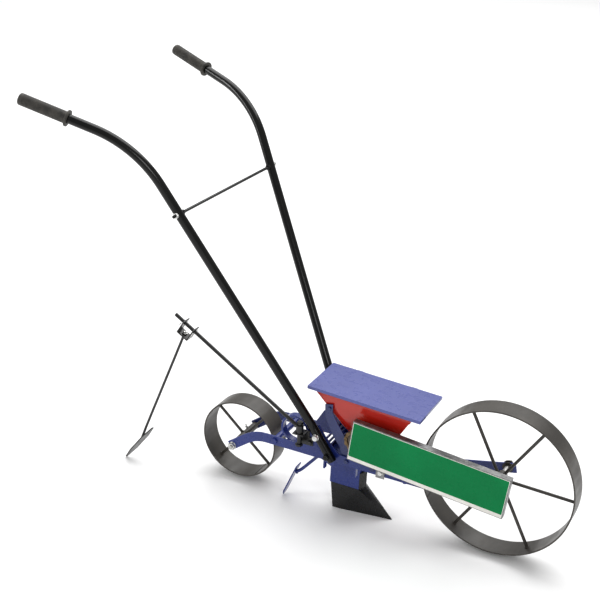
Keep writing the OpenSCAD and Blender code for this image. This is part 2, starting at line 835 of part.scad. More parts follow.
module coverer_rod() {
  dir = unit([coverer_end.x - coverer_pivot.x, 0, coverer_end.y - coverer_pivot.y]);
  l = norm(coverer_end - coverer_pivot);
  color("#2b3a80") difference() {
    union() {
      bar_y(coverer_pivot.x, coverer_pivot.y, coverer_eye_r, coverer_y - 8, coverer_y + 8);
      bar_along([coverer_pivot.x, coverer_y, coverer_pivot.y], dir, l, coverer_rod_d / 2);
    }
    bar_y(coverer_pivot.x, coverer_pivot.y, coverer_pin_d / 2 + run, coverer_y - 20, coverer_y + 20);
  }
}

module coverer_blade() {
  d = blade_tip - blade_top;
  lean = atan2(d.y, d.x);
  l = norm(d);
  color("#2b3a80") translate([blade_top.x - 2, coverer_y, blade_top.y]) rotate([0, -lean, 0])
    translate([0, 0, -blade_t / 2]) linear_extrude(blade_t)
      polygon([[0, -blade_w / 2], [l - 14, -blade_w / 2], [l, -4], [l, 4], [l - 14, blade_w / 2], [0, blade_w / 2]]);
}

// ---- Handles ----

function bend_turn(d1, d2) = acos(d1 * d2);
function bend_tangent(d1, d2, r) = r * tan(bend_turn(d1, d2) / 2);

// Tube bent from direction d1 to d2 round vertex v
module bent_tube(v, d1, d2, bend_r, r, bore) {
  turn = bend_turn(d1, d2);
  start = v - d1 * bend_tangent(d1, d2, bend_r);
  inward = unit(d2 - d1 * (d1 * d2));
  axis = cross(d1, inward);
  translate(start + inward * bend_r) rotate(frame_angles(-inward, axis))
    rotate_extrude(angle = turn, $fn = 96) translate([bend_r, 0]) difference() {
      circle(r = r);
      circle(r = bore);
    }
}

// Straight length of tube from p along d; a hair short at both ends, where a bend meets it
module straight_tube(p, d, l, r, bore) {
  difference() {
    bar_along(p + d * seam, d, l - 2 * seam, r);
    bar_along(p - d, d, l + 2, bore);
  }
}

module handle_tube() {
  r = tube_d / 2;
  bore = r - tube_t;
  t1 = bend_tangent(knee_in, knee_out, knee_r);
  t2 = bend_tangent(knee_out, elbow_out, handle_bend_r);
  color("#141414") {
    difference() {
      straight_tube(foot3, knee_in, norm(knee3 - foot3) - t1, r, bore);
      for (i = [0, 1]) bar_y(handle_hole(i).x, handle_hole(i).y, 4 + air, handle_y - 20, handle_y + 20);
    }
    bent_tube(knee3, knee_in, knee_out, knee_r, r, bore);
    difference() {
      straight_tube(knee3 + knee_out * t1, knee_out, norm(elbow3 - knee3) - t1 - t2, r, bore);
      bar_y(cross_p.x, cross_p.z, cross_rod_d / 2 + air, cross_p.y - 30, cross_p.y + 30);
    }
    bent_tube(elbow3, knee_out, elbow_out, handle_bend_r, r, bore);
    straight_tube(elbow3 + elbow_out * t2, elbow_out, norm(end3 - elbow3) - t2 - 2, r, bore);
  }
}

module left_handle_tube() { handle_tube(); }
module right_handle_tube() { mirror([0, 1, 0]) handle_tube(); }

module grip() {
  start = end3 - elbow_out * grip_l;
  color("#262626") difference() {
    union() {
      bar_along(start, elbow_out, grip_l, grip_d / 2);
      bar_along(start, elbow_out, flange_w, grip_d / 2 + 5);
    }
    bar_along(start - elbow_out * 2, elbow_out, grip_l, tube_d / 2);
  }
}

module left_grip() { grip(); }
module right_grip() { mirror([0, 1, 0]) grip(); }

module cross_rod() {
  color("#1b1b1b") bar_y(cross_p.x, cross_p.z, cross_rod_d / 2, -cross_p.y - 24, cross_p.y + 24);
}

module cross_rod_nuts() {
  gap = tube_d / 2 + 2.2;
  color("#55534f") for (side = [0, 1], s = [-1, 1]) mirror([0, side, 0]) {
    a = cross_p.y + s * gap;
    difference() {
      hex_y(cross_p.x, cross_p.z, cross_nut_af, min(a, a + s * cross_nut_h), max(a, a + s * cross_nut_h));
      bar_y(cross_p.x, cross_p.z, cross_rod_d / 2, a - 8, a + 8);
    }
  }
}

module handle_bolts() {
  tube_out = handle_y + tube_d / 2;
  color("#d0d0cc") for (side = [0, 1], i = [0, 1]) mirror([0, side, 0]) {
    p = handle_hole(i);
    bar_y(p.x, p.y, 4, plate_in - 9, tube_out + 9);
    hex_y(p.x, p.y, 13, plate_in - 5.3, plate_in);
    difference() {
      union() {
        bar_y(p.x, p.y, 8, tube_out, tube_out + washer_t);
        hex_y(p.x, p.y, 13, tube_out + washer_t, tube_out + 8);
      }
      bar_y(p.x, p.y, 4, tube_out - 1, tube_out + 9);
    }
  }
}

// ---- Row marker ----

// Angle piece bolted to the right side plate, its shelf bored for the pivot
module marker_bracket() {
  back = marker_foot.x - 14;
  base_z = 176;
  step_x = -6;
  step_z = 198;
  color("#161616") difference() {
    union() {
      translate([back, -plate_out - bracket_t, base_z]) cube([42, bracket_t, marker_z - base_z]);
      translate([back, marker_y - 11, marker_z - bracket_t]) cube([28, -plate_out - marker_y + 11, bracket_t]);
    }
    translate([marker_foot.x, marker_y, marker_z - 10]) cylinder(h = 20, r = pivot_d / 2);
    for (p = marker_bolt) bar_y(p.x, p.y, 3 + air, -plate_out - 10, -plate_out + 1);
    translate([step_x, -plate_out - 10, step_z]) cube([20, 12, 20]);
  }
}

module marker_pivot() {
  low = marker_z - 9;
  nut_z = marker_z + sleeve_h + 2.5;
  nut_h = 6;
  color("#a9a9a4") {
    translate([marker_foot.x, marker_y, low]) cylinder(h = nut_z + nut_h - low + 1, r = pivot_d / 2);
    translate([marker_foot.x, marker_y, low]) cylinder(h = nut_h, r = 9.2, $fn = 6);
    translate([marker_foot.x, marker_y, nut_z]) cylinder(h = nut_h, r = 8.2, $fn = 6);
    for (p = marker_bolt) {
      bar_y(p.x, p.y, 3, -plate_out - bracket_t, -plate_in + 7);
      hex_y(p.x, p.y, 10, -plate_out - bracket_t - 4, -plate_out - bracket_t);
    }
  }
}

module marker_arm() {
  l = norm(arm_tip - arm_foot);
  color("#141414") difference() {
    union() {
      translate([marker_foot.x, marker_y, marker_z + air]) cylinder(h = sleeve_h, r = sleeve_r);
      bar_along([arm_foot.x, marker_y, arm_foot.y], arm_dir, l, marker_arm_d / 2);
    }
    translate([marker_foot.x, marker_y, marker_z - 5]) cylinder(h = 40, r = pivot_d / 2 + run);
    for (s = [-1, 1]) translate(clamp_c + arm_dir * s * cotter_s) rotate([90, 0, 0])
      cylinder(h = 40, r = cotter_d / 2 + run, center = true);
  }
}

module marker_cotters() {
  color("#8f8f8c") for (s = [-1, 1]) translate(clamp_c + arm_dir * s * cotter_s) rotate([90, 0, 0])
    cylinder(h = 30, r = cotter_d / 2, center = true);
}

// Local frame of the clamp: X along the arm, Z away from the base
module in_clamp() { translate(clamp_c) rotate([0, -atan2(arm_dir.z, arm_dir.x), 0]) rotate([180, 0, 0]) children(); }

module marker_clamp() {
  color("#161616") in_clamp() difference() {
    translate([-clamp_l / 2, -clamp_w / 2, -clamp_drop]) cube([clamp_l, clamp_w, clamp_drop + 9]);
    translate([-clamp_l / 2 + clamp_t, -clamp_w, -clamp_drop + clamp_t])
      cube([clamp_l - 2 * clamp_t, 2 * clamp_w, clamp_drop + 20]);
    along_x(clamp_l + 8) cylinder(h = clamp_l + 8, r = marker_arm_d / 2 + run);
    translate([0, 0, -clamp_drop - 1]) cylinder(h = clamp_t + 2, r = 3);
  }
}

module marker_nut() {
  color("#d0d0cc") in_clamp() {
    translate([0, 0, -clamp_drop]) cylinder(h = clamp_t + 8, r = 3);
    translate([0, 0, -clamp_drop + clamp_t]) cylinder(h = 5, r = 5.8, $fn = 6);
  }
}

module marker_rod() {
  color("#161616") {
    in_clamp() translate([0, 0, -clamp_drop - 6]) cylinder(h = 6, r = 5.5);
    bar_along(base_c + rod_dir * 3, rod_dir, norm([rod_end.x - base_c.x, rod_end.y - base_c.z]) - 3, marker_rod_d / 2);
  }
}

module marker_blade() {
  d = leaf_tip - leaf_top;
  l = norm(d);
  color("#1d1d1b") translate([leaf_top.x, marker_y, leaf_top.y]) rotate([0, -atan2(d.y, d.x), 0])
    rotate([leaf_turn, 0, 0]) translate([0, 0, -leaf_t / 2]) linear_extrude(leaf_t) polygon([
      [0, -3], [l * 0.28, -leaf_w / 2], [l * 0.72, -leaf_w / 2], [l, -3],
      [l, 3], [l * 0.72, leaf_w / 2], [l * 0.28, leaf_w / 2], [0, 3]
    ]);
}

right_side_plate();
left_side_plate();
frame_spacers();
frame_bolts();
tie_rods();
frame_hoop();
front_bushes();
rear_axle();
rear_axle_nuts();
front_rim();
front_spokes();
front_hub();
front_axle();
front_axle_nuts();
drive_sprocket();
rear_rim();
rear_spokes();
rear_hub();
rear_hub_nipple();
drive_chain();
driven_sprocket();
metering_shaft();
shaft_bushes();
shaft_collars();
seed_roller();
roller_brush();
metering_housing();
housing_bolts();
chain_guard();
guard_panel();
guard_bolts();
hopper();
rear_hopper_brackets();
front_hopper_brackets();
hopper_bolts();
hopper_lid();
lid_knuckles();
hopper_hinges();
hinge_pins();
seed_boot();
boot_straps();
furrow_opener();
coverer_pin();
coverer_rod();
coverer_blade();
right_handle_tube();
left_handle_tube();
right_grip();
left_grip();
cross_rod();
cross_rod_nuts();
handle_bolts();
marker_bracket();
marker_pivot();
marker_arm();
marker_cotters();
marker_clamp();
marker_nut();
marker_rod();
marker_blade();
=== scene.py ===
import json
from math import asin, atan2, ceil, cos, pi, radians, sin, tan

import bmesh
import bpy
from mathutils import Matrix, Vector, noise

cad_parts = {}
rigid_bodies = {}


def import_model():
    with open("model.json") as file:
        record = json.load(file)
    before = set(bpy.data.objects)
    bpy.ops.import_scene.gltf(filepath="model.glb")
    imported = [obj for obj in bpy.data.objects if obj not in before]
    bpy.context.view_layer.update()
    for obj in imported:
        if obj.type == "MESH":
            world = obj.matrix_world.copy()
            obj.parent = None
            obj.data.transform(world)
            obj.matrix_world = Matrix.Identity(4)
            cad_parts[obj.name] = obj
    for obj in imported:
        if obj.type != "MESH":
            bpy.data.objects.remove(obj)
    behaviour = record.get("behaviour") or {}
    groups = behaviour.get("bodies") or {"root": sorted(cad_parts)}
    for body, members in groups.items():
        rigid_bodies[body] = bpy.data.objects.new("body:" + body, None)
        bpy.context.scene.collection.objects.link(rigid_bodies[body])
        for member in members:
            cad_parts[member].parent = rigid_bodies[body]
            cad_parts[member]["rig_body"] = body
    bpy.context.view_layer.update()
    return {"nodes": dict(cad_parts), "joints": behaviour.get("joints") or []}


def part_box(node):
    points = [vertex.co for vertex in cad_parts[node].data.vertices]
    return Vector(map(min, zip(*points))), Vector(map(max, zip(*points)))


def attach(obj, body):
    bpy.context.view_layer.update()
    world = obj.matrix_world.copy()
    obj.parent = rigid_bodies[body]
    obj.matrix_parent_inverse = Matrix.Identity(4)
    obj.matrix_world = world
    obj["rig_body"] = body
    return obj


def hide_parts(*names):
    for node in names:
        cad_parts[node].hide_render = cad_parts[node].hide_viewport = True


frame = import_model()

# ---- Camera ----
# A portrait lens at standing height, ahead of the seeder's right-hand side,
# looking down on the lid and back along the handles.
eye = Vector((1.0554, -2.4119, 1.6551))
yaw, pitch, roll = -0.440, 0.406, 0.054
forward = Vector((sin(yaw) * cos(pitch), cos(yaw) * cos(pitch), -sin(pitch)))
level_right = Vector((cos(yaw), -sin(yaw), 0))
level_up = level_right.cross(forward)
right = level_right * cos(roll) + level_up * sin(roll)
up = level_up * cos(roll) - level_right * sin(roll)
camera = bpy.data.objects.new("camera", bpy.data.cameras.new("camera"))
camera.data.sensor_width = 36
camera.data.lens = 74.98
camera.data.clip_start = 0.05
camera.matrix_world = Matrix.Translation(eye) @ Matrix((right, up, -forward)).transposed().to_4x4()
bpy.context.scene.collection.objects.link(camera)
bpy.context.scene.camera = camera

# ---- Studio ----
# A pale sweep of floor, a broad soft box overhead, a softer one from the
# camera's side and a narrow strip that draws the long glints on the tubes.
scene = bpy.context.scene
scene.view_settings.view_transform = "Standard"
scene.view_settings.look = "Medium High Contrast"
scene.view_settings.exposure = 0.12
world = bpy.data.worlds.new("studio")
scene.world = world
world.use_nodes = True
sky = world.node_tree.nodes["Background"]
sky.inputs["Color"].default_value = (1, 1, 1, 1)
sky.inputs["Strength"].default_value = 0.42


def soft_box(name, place, aim, size, power):
    """A rectangular lamp that faces the point aimed at."""
    data = bpy.data.lights.new(name, "AREA")
    data.shape = "RECTANGLE"
    data.size, data.size_y = size
    data.energy = power
    box = bpy.data.objects.new(name, data)
    box.location = place
    box.rotation_euler = (Vector(aim) - Vector(place)).to_track_quat("-Z", "Y").to_euler()
    scene.collection.objects.link(box)


soft_box("top_box", (-0.3, 3.2, 6.4), (0, 1.2, 0.0), (8.0, 8.0), 470)
soft_box("side_box", (2.6, -2.8, 2.2), (0, 0, 0.3), (1.6, 1.6), 26)
soft_box("strip_box", (-2.4, -1.8, 1.6), (0, 0, 0.5), (0.4, 1.8), 16)

floor_mesh = bpy.data.meshes.new("floor")
floor_side = 14
floor_mesh.from_pydata(
    [(x * floor_side, y * floor_side, 0) for x, y in ((-1, -1), (1, -1), (1, 1), (-1, 1))],
    [], [(0, 1, 2, 3)])
floor = bpy.data.objects.new("floor", floor_mesh)
scene.collection.objects.link(floor)
paper = bpy.data.materials.new("paper")
paper.use_nodes = True
paper_shader = paper.node_tree.nodes["Principled BSDF"]
paper_shader.inputs["Roughness"].default_value = 0.9
paper_shader.inputs["Specular IOR Level"].default_value = 0.2
paper_noise = paper.node_tree.nodes.new("ShaderNodeTexNoise")
paper_noise.inputs["Scale"].default_value = 1.5
paper_tint = paper.node_tree.nodes.new("ShaderNodeValToRGB")
paper_tint.color_ramp.elements[0].color = (0.86, 0.86, 0.86, 1)
paper_tint.color_ramp.elements[1].color = (0.90, 0.90, 0.90, 1)
paper.node_tree.links.new(paper_noise.outputs["Fac"], paper_tint.inputs["Fac"])
paper.node_tree.links.new(paper_tint.outputs["Color"], paper_shader.inputs["Base Color"])
floor_mesh.materials.append(paper)

# ---- Side plates ----
# Two 4 mm steel plates, cut with their gussets in one piece, drilled and
# bent at both ends, then sprayed with blue gloss enamel before assembly.
mm = 0.001


def grain(material, scale, detail=3.0, stretch=(1, 1, 1)):
    """Noise in the piece's own metres, stretched along its axes."""
    nodes, links = material.node_tree.nodes, material.node_tree.links
    place = nodes.new("ShaderNodeTexCoord")
    sized = nodes.new("ShaderNodeMapping")
    sized.inputs["Scale"].default_value = stretch
    texture = nodes.new("ShaderNodeTexNoise")
    texture.inputs["Scale"].default_value = scale
    texture.inputs["Detail"].default_value = detail
    links.new(place.outputs["Object"], sized.inputs["Vector"])
    links.new(sized.outputs["Vector"], texture.inputs["Vector"])
    return texture.outputs["Fac"]


def between(material, factor, low, high):
    """Spreads a noise over low..high, as a number or a colour."""
    nodes, links = material.node_tree.nodes, material.node_tree.links
    if isinstance(low, tuple):
        ramp = nodes.new("ShaderNodeValToRGB")
        ramp.color_ramp.elements[0].position, ramp.color_ramp.elements[1].position = 0.36, 0.64
        ramp.color_ramp.elements[0].color = (*low, 1)
        ramp.color_ramp.elements[1].color = (*high, 1)
        links.new(factor, ramp.inputs["Fac"])
        return ramp.outputs["Color"]
    spread = nodes.new("ShaderNodeMapRange")
    spread.inputs["From Min"].default_value, spread.inputs["From Max"].default_value = 0.3, 0.7
    spread.inputs["To Min"].default_value, spread.inputs["To Max"].default_value = low, high
    links.new(factor, spread.inputs["Value"])
    return spread.outputs["Result"]


def finish_of(name, low, high, rough, metal=0.0, coat=0.0, bumps=((900, 0.06),), cloud=9.0,
              stretch=(1, 1, 1), specular=0.5):
    """A finish whose colour clouds from low to high, with fine relief from each (scale, height in mm)."""
    material = bpy.data.materials.new(name)
    material.use_nodes = True
    links = material.node_tree.links
    shader = material.node_tree.nodes["Principled BSDF"]
    shader.inputs["Metallic"].default_value = metal
    shader.inputs["Specular IOR Level"].default_value = specular
    shader.inputs["Coat Weight"].default_value = coat
    shader.inputs["Coat Roughness"].default_value = 0.06
    links.new(between(material, grain(material, cloud, 4), low, high), shader.inputs["Base Color"])
    links.new(between(material, grain(material, 60, 5, stretch), *rough), shader.inputs["Roughness"])
    previous = None
    for scale, height in bumps:
        bump = material.node_tree.nodes.new("ShaderNodeBump")
        bump.inputs["Strength"].default_value = 0.6
        bump.inputs["Distance"].default_value = height * mm
        links.new(grain(material, scale, 3, stretch), bump.inputs["Height"])
        if previous:
            links.new(previous.outputs["Normal"], bump.inputs["Normal"])
        previous = bump
    links.new(previous.outputs["Normal"], shader.inputs["Normal"])
    return material


def put(name, mesh, material, slot, *nodes, body=None):
    """A finished piece: it rides the body of the nodes that it stands for."""
    if isinstance(mesh, bmesh.types.BMesh):
        skin = mesh
        bmesh.ops.remove_doubles(skin, verts=skin.verts, dist=2e-6)
        bmesh.ops.recalc_face_normals(skin, faces=skin.faces)
        mesh = bpy.data.meshes.new(name)
        skin.to_mesh(mesh)
        skin.free()
    piece = bpy.data.objects.new(name, mesh)
    mesh.materials.clear()
    mesh.materials.append(material)
    for face in mesh.polygons:
        face.use_smooth = True
    mesh.set_sharp_from_angle(angle=radians(35))
    scene.collection.objects.link(piece)
    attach(piece, body or frame["nodes"][nodes[0]]["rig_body"])
    if nodes:
        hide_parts(*nodes)
    return piece


def rounded(piece, width, steps=2, angle=30):
    """Breaks every edge sharper than the angle, by a width in mm."""
    bevel = piece.modifiers.new("edges", "BEVEL")
    bevel.width = width * mm
    bevel.segments = steps
    bevel.limit_method = "ANGLE"
    bevel.angle_limit = radians(angle)
    bevel.use_clamp_overlap = False
    bevel.harden_normals = True
    return piece


def solid_of(node):
    """The node's own solid as an open bmesh, with its flat faces whole."""
    skin = bmesh.new()
    skin.from_mesh(frame["nodes"][node].data)
    bmesh.ops.remove_doubles(skin, verts=skin.verts, dist=1e-6)
    bmesh.ops.dissolve_limit(skin, angle_limit=radians(0.5), verts=skin.verts, edges=skin.edges)
    return skin


def made_from(node, material, slot, edge=0.4, steps=2):
    """A piece with the node's shape, its sharp edges broken by edge in mm."""
    return rounded(put(node + "_made", solid_of(node), material, slot, node), edge, steps)


frame_blue = finish_of("blue_enamel", (0.022, 0.036, 0.170), (0.028, 0.046, 0.210), (0.22, 0.34), coat=0.15,
                       bumps=((420, 0.02), (35, 0.15)))
for side in ("right", "left"):
    made_from(side + "_side_plate", frame_blue, "frame_blue", 0.5)

# ---- Spacers, tie rods and hoop ----
# Tubes hold the plates apart and long bolts pull them together. Two thin rods
# and a rolled hoop are welded across behind the hopper, then painted with it.


def skin_over(mesh, rings, wrap=False):
    """Joins rings of points, in order, into one closed skin."""
    rows = [[mesh.verts.new(point) for point in ring] for ring in rings]
    for one, two in list(zip(rows, rows[1:])) + ([(rows[-1], rows[0])] if wrap else []):
        for i in range(len(one)):
            j = (i + 1) % len(one)
            mesh.faces.new((one[i], one[j], two[j], two[i]))
    if not wrap:
        mesh.faces.new(rows[0][::-1])
        mesh.faces.new(rows[-1])


def turned(mesh, profile, start, axis, steps=32, hollow=False):
    """A turned shape. The profile is (radius, distance along the axis); a hollow one closes on itself."""
    along = Vector(axis).normalized()
    across = along.orthogonal().normalized()
    other = along.cross(across)
    around = [across * cos(2 * pi * i / steps) + other * sin(2 * pi * i / steps) for i in range(steps)]
    skin_over(mesh, [[Vector(start) + along * t + ray * r for ray in around] for r, t in profile], hollow)


def rings_along(path, radii, steps, wrap=False):
    """A ring of points round each point of a path, turned as little as the path allows."""
    count, rings, across = len(path), [], None
    for i, point in enumerate(path):
        ahead = path[(i + 1) % count] if wrap or i + 1 < count else path[i]
        behind = path[i - 1] if wrap or i else path[0]
        along = (ahead - behind).normalized()
        across = along.orthogonal() if across is None else across - along * across.dot(along)
        across.normalize()
        other = along.cross(across)
        rings.append([point + (across * cos(2 * pi * k / steps) + other * sin(2 * pi * k / steps)) * radii[i]
                      for k in range(steps)])
    return rings


def swept(mesh, path, radius, steps=14, wrap=False):
    """A round bar along a path. The radius is one number, or one for each point."""
    radii = radius if isinstance(radius, list) else [radius] * len(path)
    skin_over(mesh, rings_along(path, radii, steps, wrap), wrap)


def circle_path(centre, axis, radius, count=40):
    """Points round a circle, square to the axis."""
    along = Vector(axis).normalized()
    across = along.orthogonal().normalized()
    other = along.cross(across)
    return [Vector(centre) + (across * cos(2 * pi * i / count) + other * sin(2 * pi * i / count)) * radius
            for i in range(count)]


def straight_path(start, end, gap=0.0008):
    """Points along a line, close enough for a weld's ripples to show."""
    start, end = Vector(start), Vector(end)
    count = max(2, ceil((end - start).length / gap))
    return [start.lerp(end, i / count) for i in range(count + 1)]


def weld(mesh, path, size, wrap=False):
    """A weld bead along a path, rippled where each drop of metal froze."""
    ripple = 2.2 * mm
    walked, radii = 0.0, []
    for i, point in enumerate(path):
        walked += (point - path[i - 1]).length if i else 0
        drop = 0.10 * abs(sin(pi * walked / ripple)) + 0.16 * noise.noise(point * 400)
        radii.append(size * (0.9 + drop))
    if not wrap:
        radii[0] = radii[-1] = size * 0.4
    swept(mesh, path, radii, 10, wrap)


def hexagon(mesh, start, axis, flats, height, steps=36):
    """A hexagon head or nut with the corners turned off at both faces."""
    along = Vector(axis).normalized()
    across = along.orthogonal().normalized()
    other = along.cross(across)
    chamfer = 0.12 * height
    rings = []
    for t, limit in ((0, 0.97), (chamfer, 1.1547), (height - chamfer, 1.1547), (height, 0.97)):
        ring = []
        for i in range(steps):
            turn = 2 * pi * i / steps
            corner = (turn + pi / 6) % (pi / 3) - pi / 6
            reach = flats / 2 * min(1 / cos(corner), limit)
            ring.append(Vector(start) + along * t + (across * cos(turn) + other * sin(turn)) * reach)
        rings.append(ring)
    skin_over(mesh, rings)


def threaded(mesh, start, axis, size, length, thread, steps=20):
    """A threaded end: a root and a crest for each turn, and a chamfered tip."""
    profile = [(size / 2 - 0.6 * thread, 0)]
    for i in range(int(length / thread)):
        profile += [(size / 2, (i + 0.35) * thread), (size / 2, (i + 0.5) * thread),
                    (size / 2 - 0.6 * thread, (i + 0.9) * thread)]
    profile.append((size / 2 - thread, length))
    turned(mesh, profile, start, axis, steps)


def washer(mesh, start, axis, size, thick, steps=32):
    """A flat washer with its rims eased."""
    edge = 0.2 * mm
    turned(mesh, [(size / 2 - edge, 0), (size / 2, edge), (size / 2, thick - edge),
                  (size / 2 - edge, thick)],
           start, axis, steps)


def middle(node):
    low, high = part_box(node)
    return (low + high) / 2


# Metric bolts: thread diameter, width across the flats and pitch
m5, m5_flats, m5_pitch = 5 * mm, 8 * mm, 0.8 * mm
m6, m6_flats, m6_pitch = 6 * mm, 10 * mm, 1.0 * mm
m8, m8_flats, m8_pitch, m8_head, m8_nut = 8 * mm, 13 * mm, 1.25 * mm, 5.3 * mm, 6.5 * mm
plate_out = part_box("left_side_plate")[1].y
plate_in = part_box("left_side_plate")[0].y
made_from("frame_spacers", frame_blue, "frame_blue", 0.3)
made_from("tie_rods", frame_blue, "frame_blue", 0.2)

long_bolts = bmesh.new()
spacer_low, spacer_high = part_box("frame_spacers")
spacer_r = 8 * mm
bolt_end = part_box("frame_bolts")[1].y
for x, z in ((spacer_low.x + spacer_r, spacer_high.z - spacer_r),
             (spacer_high.x - spacer_r, spacer_low.z + spacer_r)):
    hexagon(long_bolts, (x, -plate_out, z), (0, -1, 0), m8_flats, m8_head)
    hexagon(long_bolts, (x, plate_out, z), (0, 1, 0), m8_flats, m8_nut)
    turned(long_bolts, [(m8 / 2, 0), (m8 / 2, 2 * plate_out)], (x, -plate_out, z), (0, 1, 0), 20)
    threaded(long_bolts, (x, plate_out, z), (0, 1, 0), m8, bolt_end - plate_out, m8_pitch)
put("long_bolts", long_bolts, frame_blue, "frame_blue", "frame_bolts")

hoop = bmesh.new()
hoop_low, hoop_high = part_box("frame_hoop")
hoop_c = middle("frame_hoop")
hoop_r = (hoop_high.x - hoop_low.x) / 2
hoop_t, hoop_w, hoop_edge = 5 * mm, hoop_high.y - hoop_low.y, 1.2 * mm
turned(hoop, [(hoop_r - hoop_t, hoop_edge), (hoop_r - hoop_t + hoop_edge, 0), (hoop_r - hoop_edge, 0),
              (hoop_r, hoop_edge), (hoop_r, hoop_w - hoop_edge), (hoop_r - hoop_edge, hoop_w),
              (hoop_r - hoop_t + hoop_edge, hoop_w), (hoop_r - hoop_t, hoop_w - hoop_edge)],
       (hoop_c.x, hoop_low.y, hoop_c.z), (0, 1, 0), 72, hollow=True)
weld(hoop, [Vector((hoop_c.x + hoop_r * cos(a), -plate_in + 0.4 * mm, hoop_c.z + hoop_r * sin(a)))
            for a in (radians(-72 + 2 * i) for i in range(36))], 1.6 * mm)
put("hoop", hoop, frame_blue, "frame_blue", "frame_hoop")

# ---- Front wheel ----
# A 60 mm steel strip rolled into a hoop and butt welded, six round spokes
# welded to it and to a turned hub, all under dark satin lacquer.
joints = {joint["name"]: joint for joint in frame["joints"]}
front_c = Vector(joints["front_wheel_spin"]["pos_m"])
rear_c = Vector(joints["rear_wheel_spin"]["pos_m"])
rim_t = 3.5 * mm
wheel_lacquer = finish_of("dark_lacquer", (0.040, 0.036, 0.031), (0.066, 0.060, 0.052), (0.34, 0.50),
                          coat=0.10, bumps=((260, 0.06), (30, 0.30)), cloud=14, stretch=(1, 0.25, 1))


def rolled_rim(node, centre, seam_at):
    """The rolled strip, raised a little where its two ends were welded together."""
    low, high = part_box(node)
    outer, half, edge = (high.x - low.x) / 2, (high.y - low.y) / 2, 0.7 * mm
    inner = outer - rim_t
    mesh = bmesh.new()
    turned(mesh, [(inner, edge), (inner + edge, 0), (outer - edge, 0), (outer, edge), (outer, half),
                  (outer, 2 * half - edge), (outer - edge, 2 * half), (inner + edge, 2 * half),
                  (inner, 2 * half - edge), (inner, half)],
           centre - Vector((0, half, 0)), (0, 1, 0), 144, hollow=True)
    ray = Vector((cos(radians(seam_at)), 0, sin(radians(seam_at))))
    for reach in (inner - 0.1 * mm, outer - 0.7 * mm):
        at = centre + ray * reach
        weld(mesh, straight_path(at - Vector((0, half - 2 * mm, 0)), at + Vector((0, half - 2 * mm, 0))),
             1.3 * mm)
    return mesh


def welded_spokes(node, centre, count, turn, thick, hub_r, rim_r):
    """Round spokes with a bead of weld at the hub and at the rim."""
    mesh = bmesh.new()
    for i in range(count):
        a = radians(turn + 360 * i / count)
        ray = Vector((cos(a), 0, sin(a)))
        turned(mesh, [(thick / 2, 0), (thick / 2, rim_r - hub_r + 0.4 * mm)],
               centre + ray * (hub_r - 0.4 * mm), ray, 24)
        weld(mesh, circle_path(centre + ray * (hub_r + 0.5 * mm), ray, thick / 2 + 0.3 * mm, 36), 1.3 * mm,
             wrap=True)
        weld(mesh, circle_path(centre + ray * (rim_r - 0.6 * mm), ray, thick / 2 + 0.5 * mm, 36), 1.5 * mm,
             wrap=True)
    return put(node + "_welded", mesh, wheel_lacquer, "wheel_steel", node)


front_spoke_d = 7.5 * mm
front_hub_r = (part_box("front_hub")[1].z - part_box("front_hub")[0].z) / 2
front_rim_r = (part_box("front_rim")[1].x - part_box("front_rim")[0].x) / 2 - rim_t
put("front_hoop", rolled_rim("front_rim", front_c, 208), wheel_lacquer, "wheel_steel", "front_rim")
welded_spokes("front_spokes", front_c, 6, -2, front_spoke_d, front_hub_r, front_rim_r)
made_from("front_hub", wheel_lacquer, "wheel_steel", 0.8)

# ---- Front axle ----
# A turned 14 mm steel axle goes round with the wheel in two flanged bushes of
# sintered iron, and lacquered nuts hold the sprocket and the far end.
shaft_steel = finish_of("oiled_steel", (0.34, 0.335, 0.325), (0.46, 0.455, 0.44), (0.24, 0.38), metal=1.0,
                        bumps=((900, 0.012),), stretch=(1, 6, 1), cloud=20)
bush_iron = finish_of("sintered_iron", (0.060, 0.057, 0.054), (0.110, 0.105, 0.098), (0.40, 0.56),
                      metal=0.9, bumps=((1500, 0.03),), cloud=40)
zinc_plate = finish_of("zinc_plate", (0.56, 0.56, 0.55), (0.74, 0.74, 0.72), (0.18, 0.34), metal=1.0,
                       bumps=((700, 0.02),), cloud=60)
made_from("front_axle", shaft_steel, "shaft_steel", 0.8)
made_from("front_bushes", bush_iron, "bush_iron", 0.3)
axle_nuts = bmesh.new()
nut_low, nut_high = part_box("front_axle_nuts")
axle_flats, thin_nut, full_nut = 22 * mm, 3.5 * mm, 6.5 * mm
axle_washer, axle_washer_t = 28 * mm, 1.5 * mm
hexagon(axle_nuts, (front_c.x, nut_low.y, front_c.z), (0, 1, 0), axle_flats, thin_nut)
washer(axle_nuts, (front_c.x, nut_high.y - full_nut - axle_washer_t, front_c.z), (0, 1, 0), axle_washer,
       axle_washer_t)
hexagon(axle_nuts, (front_c.x, nut_high.y - full_nut, front_c.z), (0, 1, 0), axle_flats, full_nut)
put("axle_nuts", axle_nuts, wheel_lacquer, "wheel_steel", "front_axle_nuts")

# ---- Rear wheel ----
# The press wheel is the same rolled strip at 200 mm, with four spokes and a
# long hub that turns on a fixed 10 mm axle; a grease nipple feeds the hub.
rear_spoke_d = 7 * mm
rear_hub_r = (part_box("rear_hub")[1].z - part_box("rear_hub")[0].z) / 2
rear_rim_r = (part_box("rear_rim")[1].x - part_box("rear_rim")[0].x) / 2 - rim_t
put("rear_hoop", rolled_rim("rear_rim", rear_c, 300), wheel_lacquer, "wheel_steel", "rear_rim")
welded_spokes("rear_spokes", rear_c, 4, 49, rear_spoke_d, rear_hub_r, rear_rim_r)
made_from("rear_hub", wheel_lacquer, "wheel_steel", 0.8)

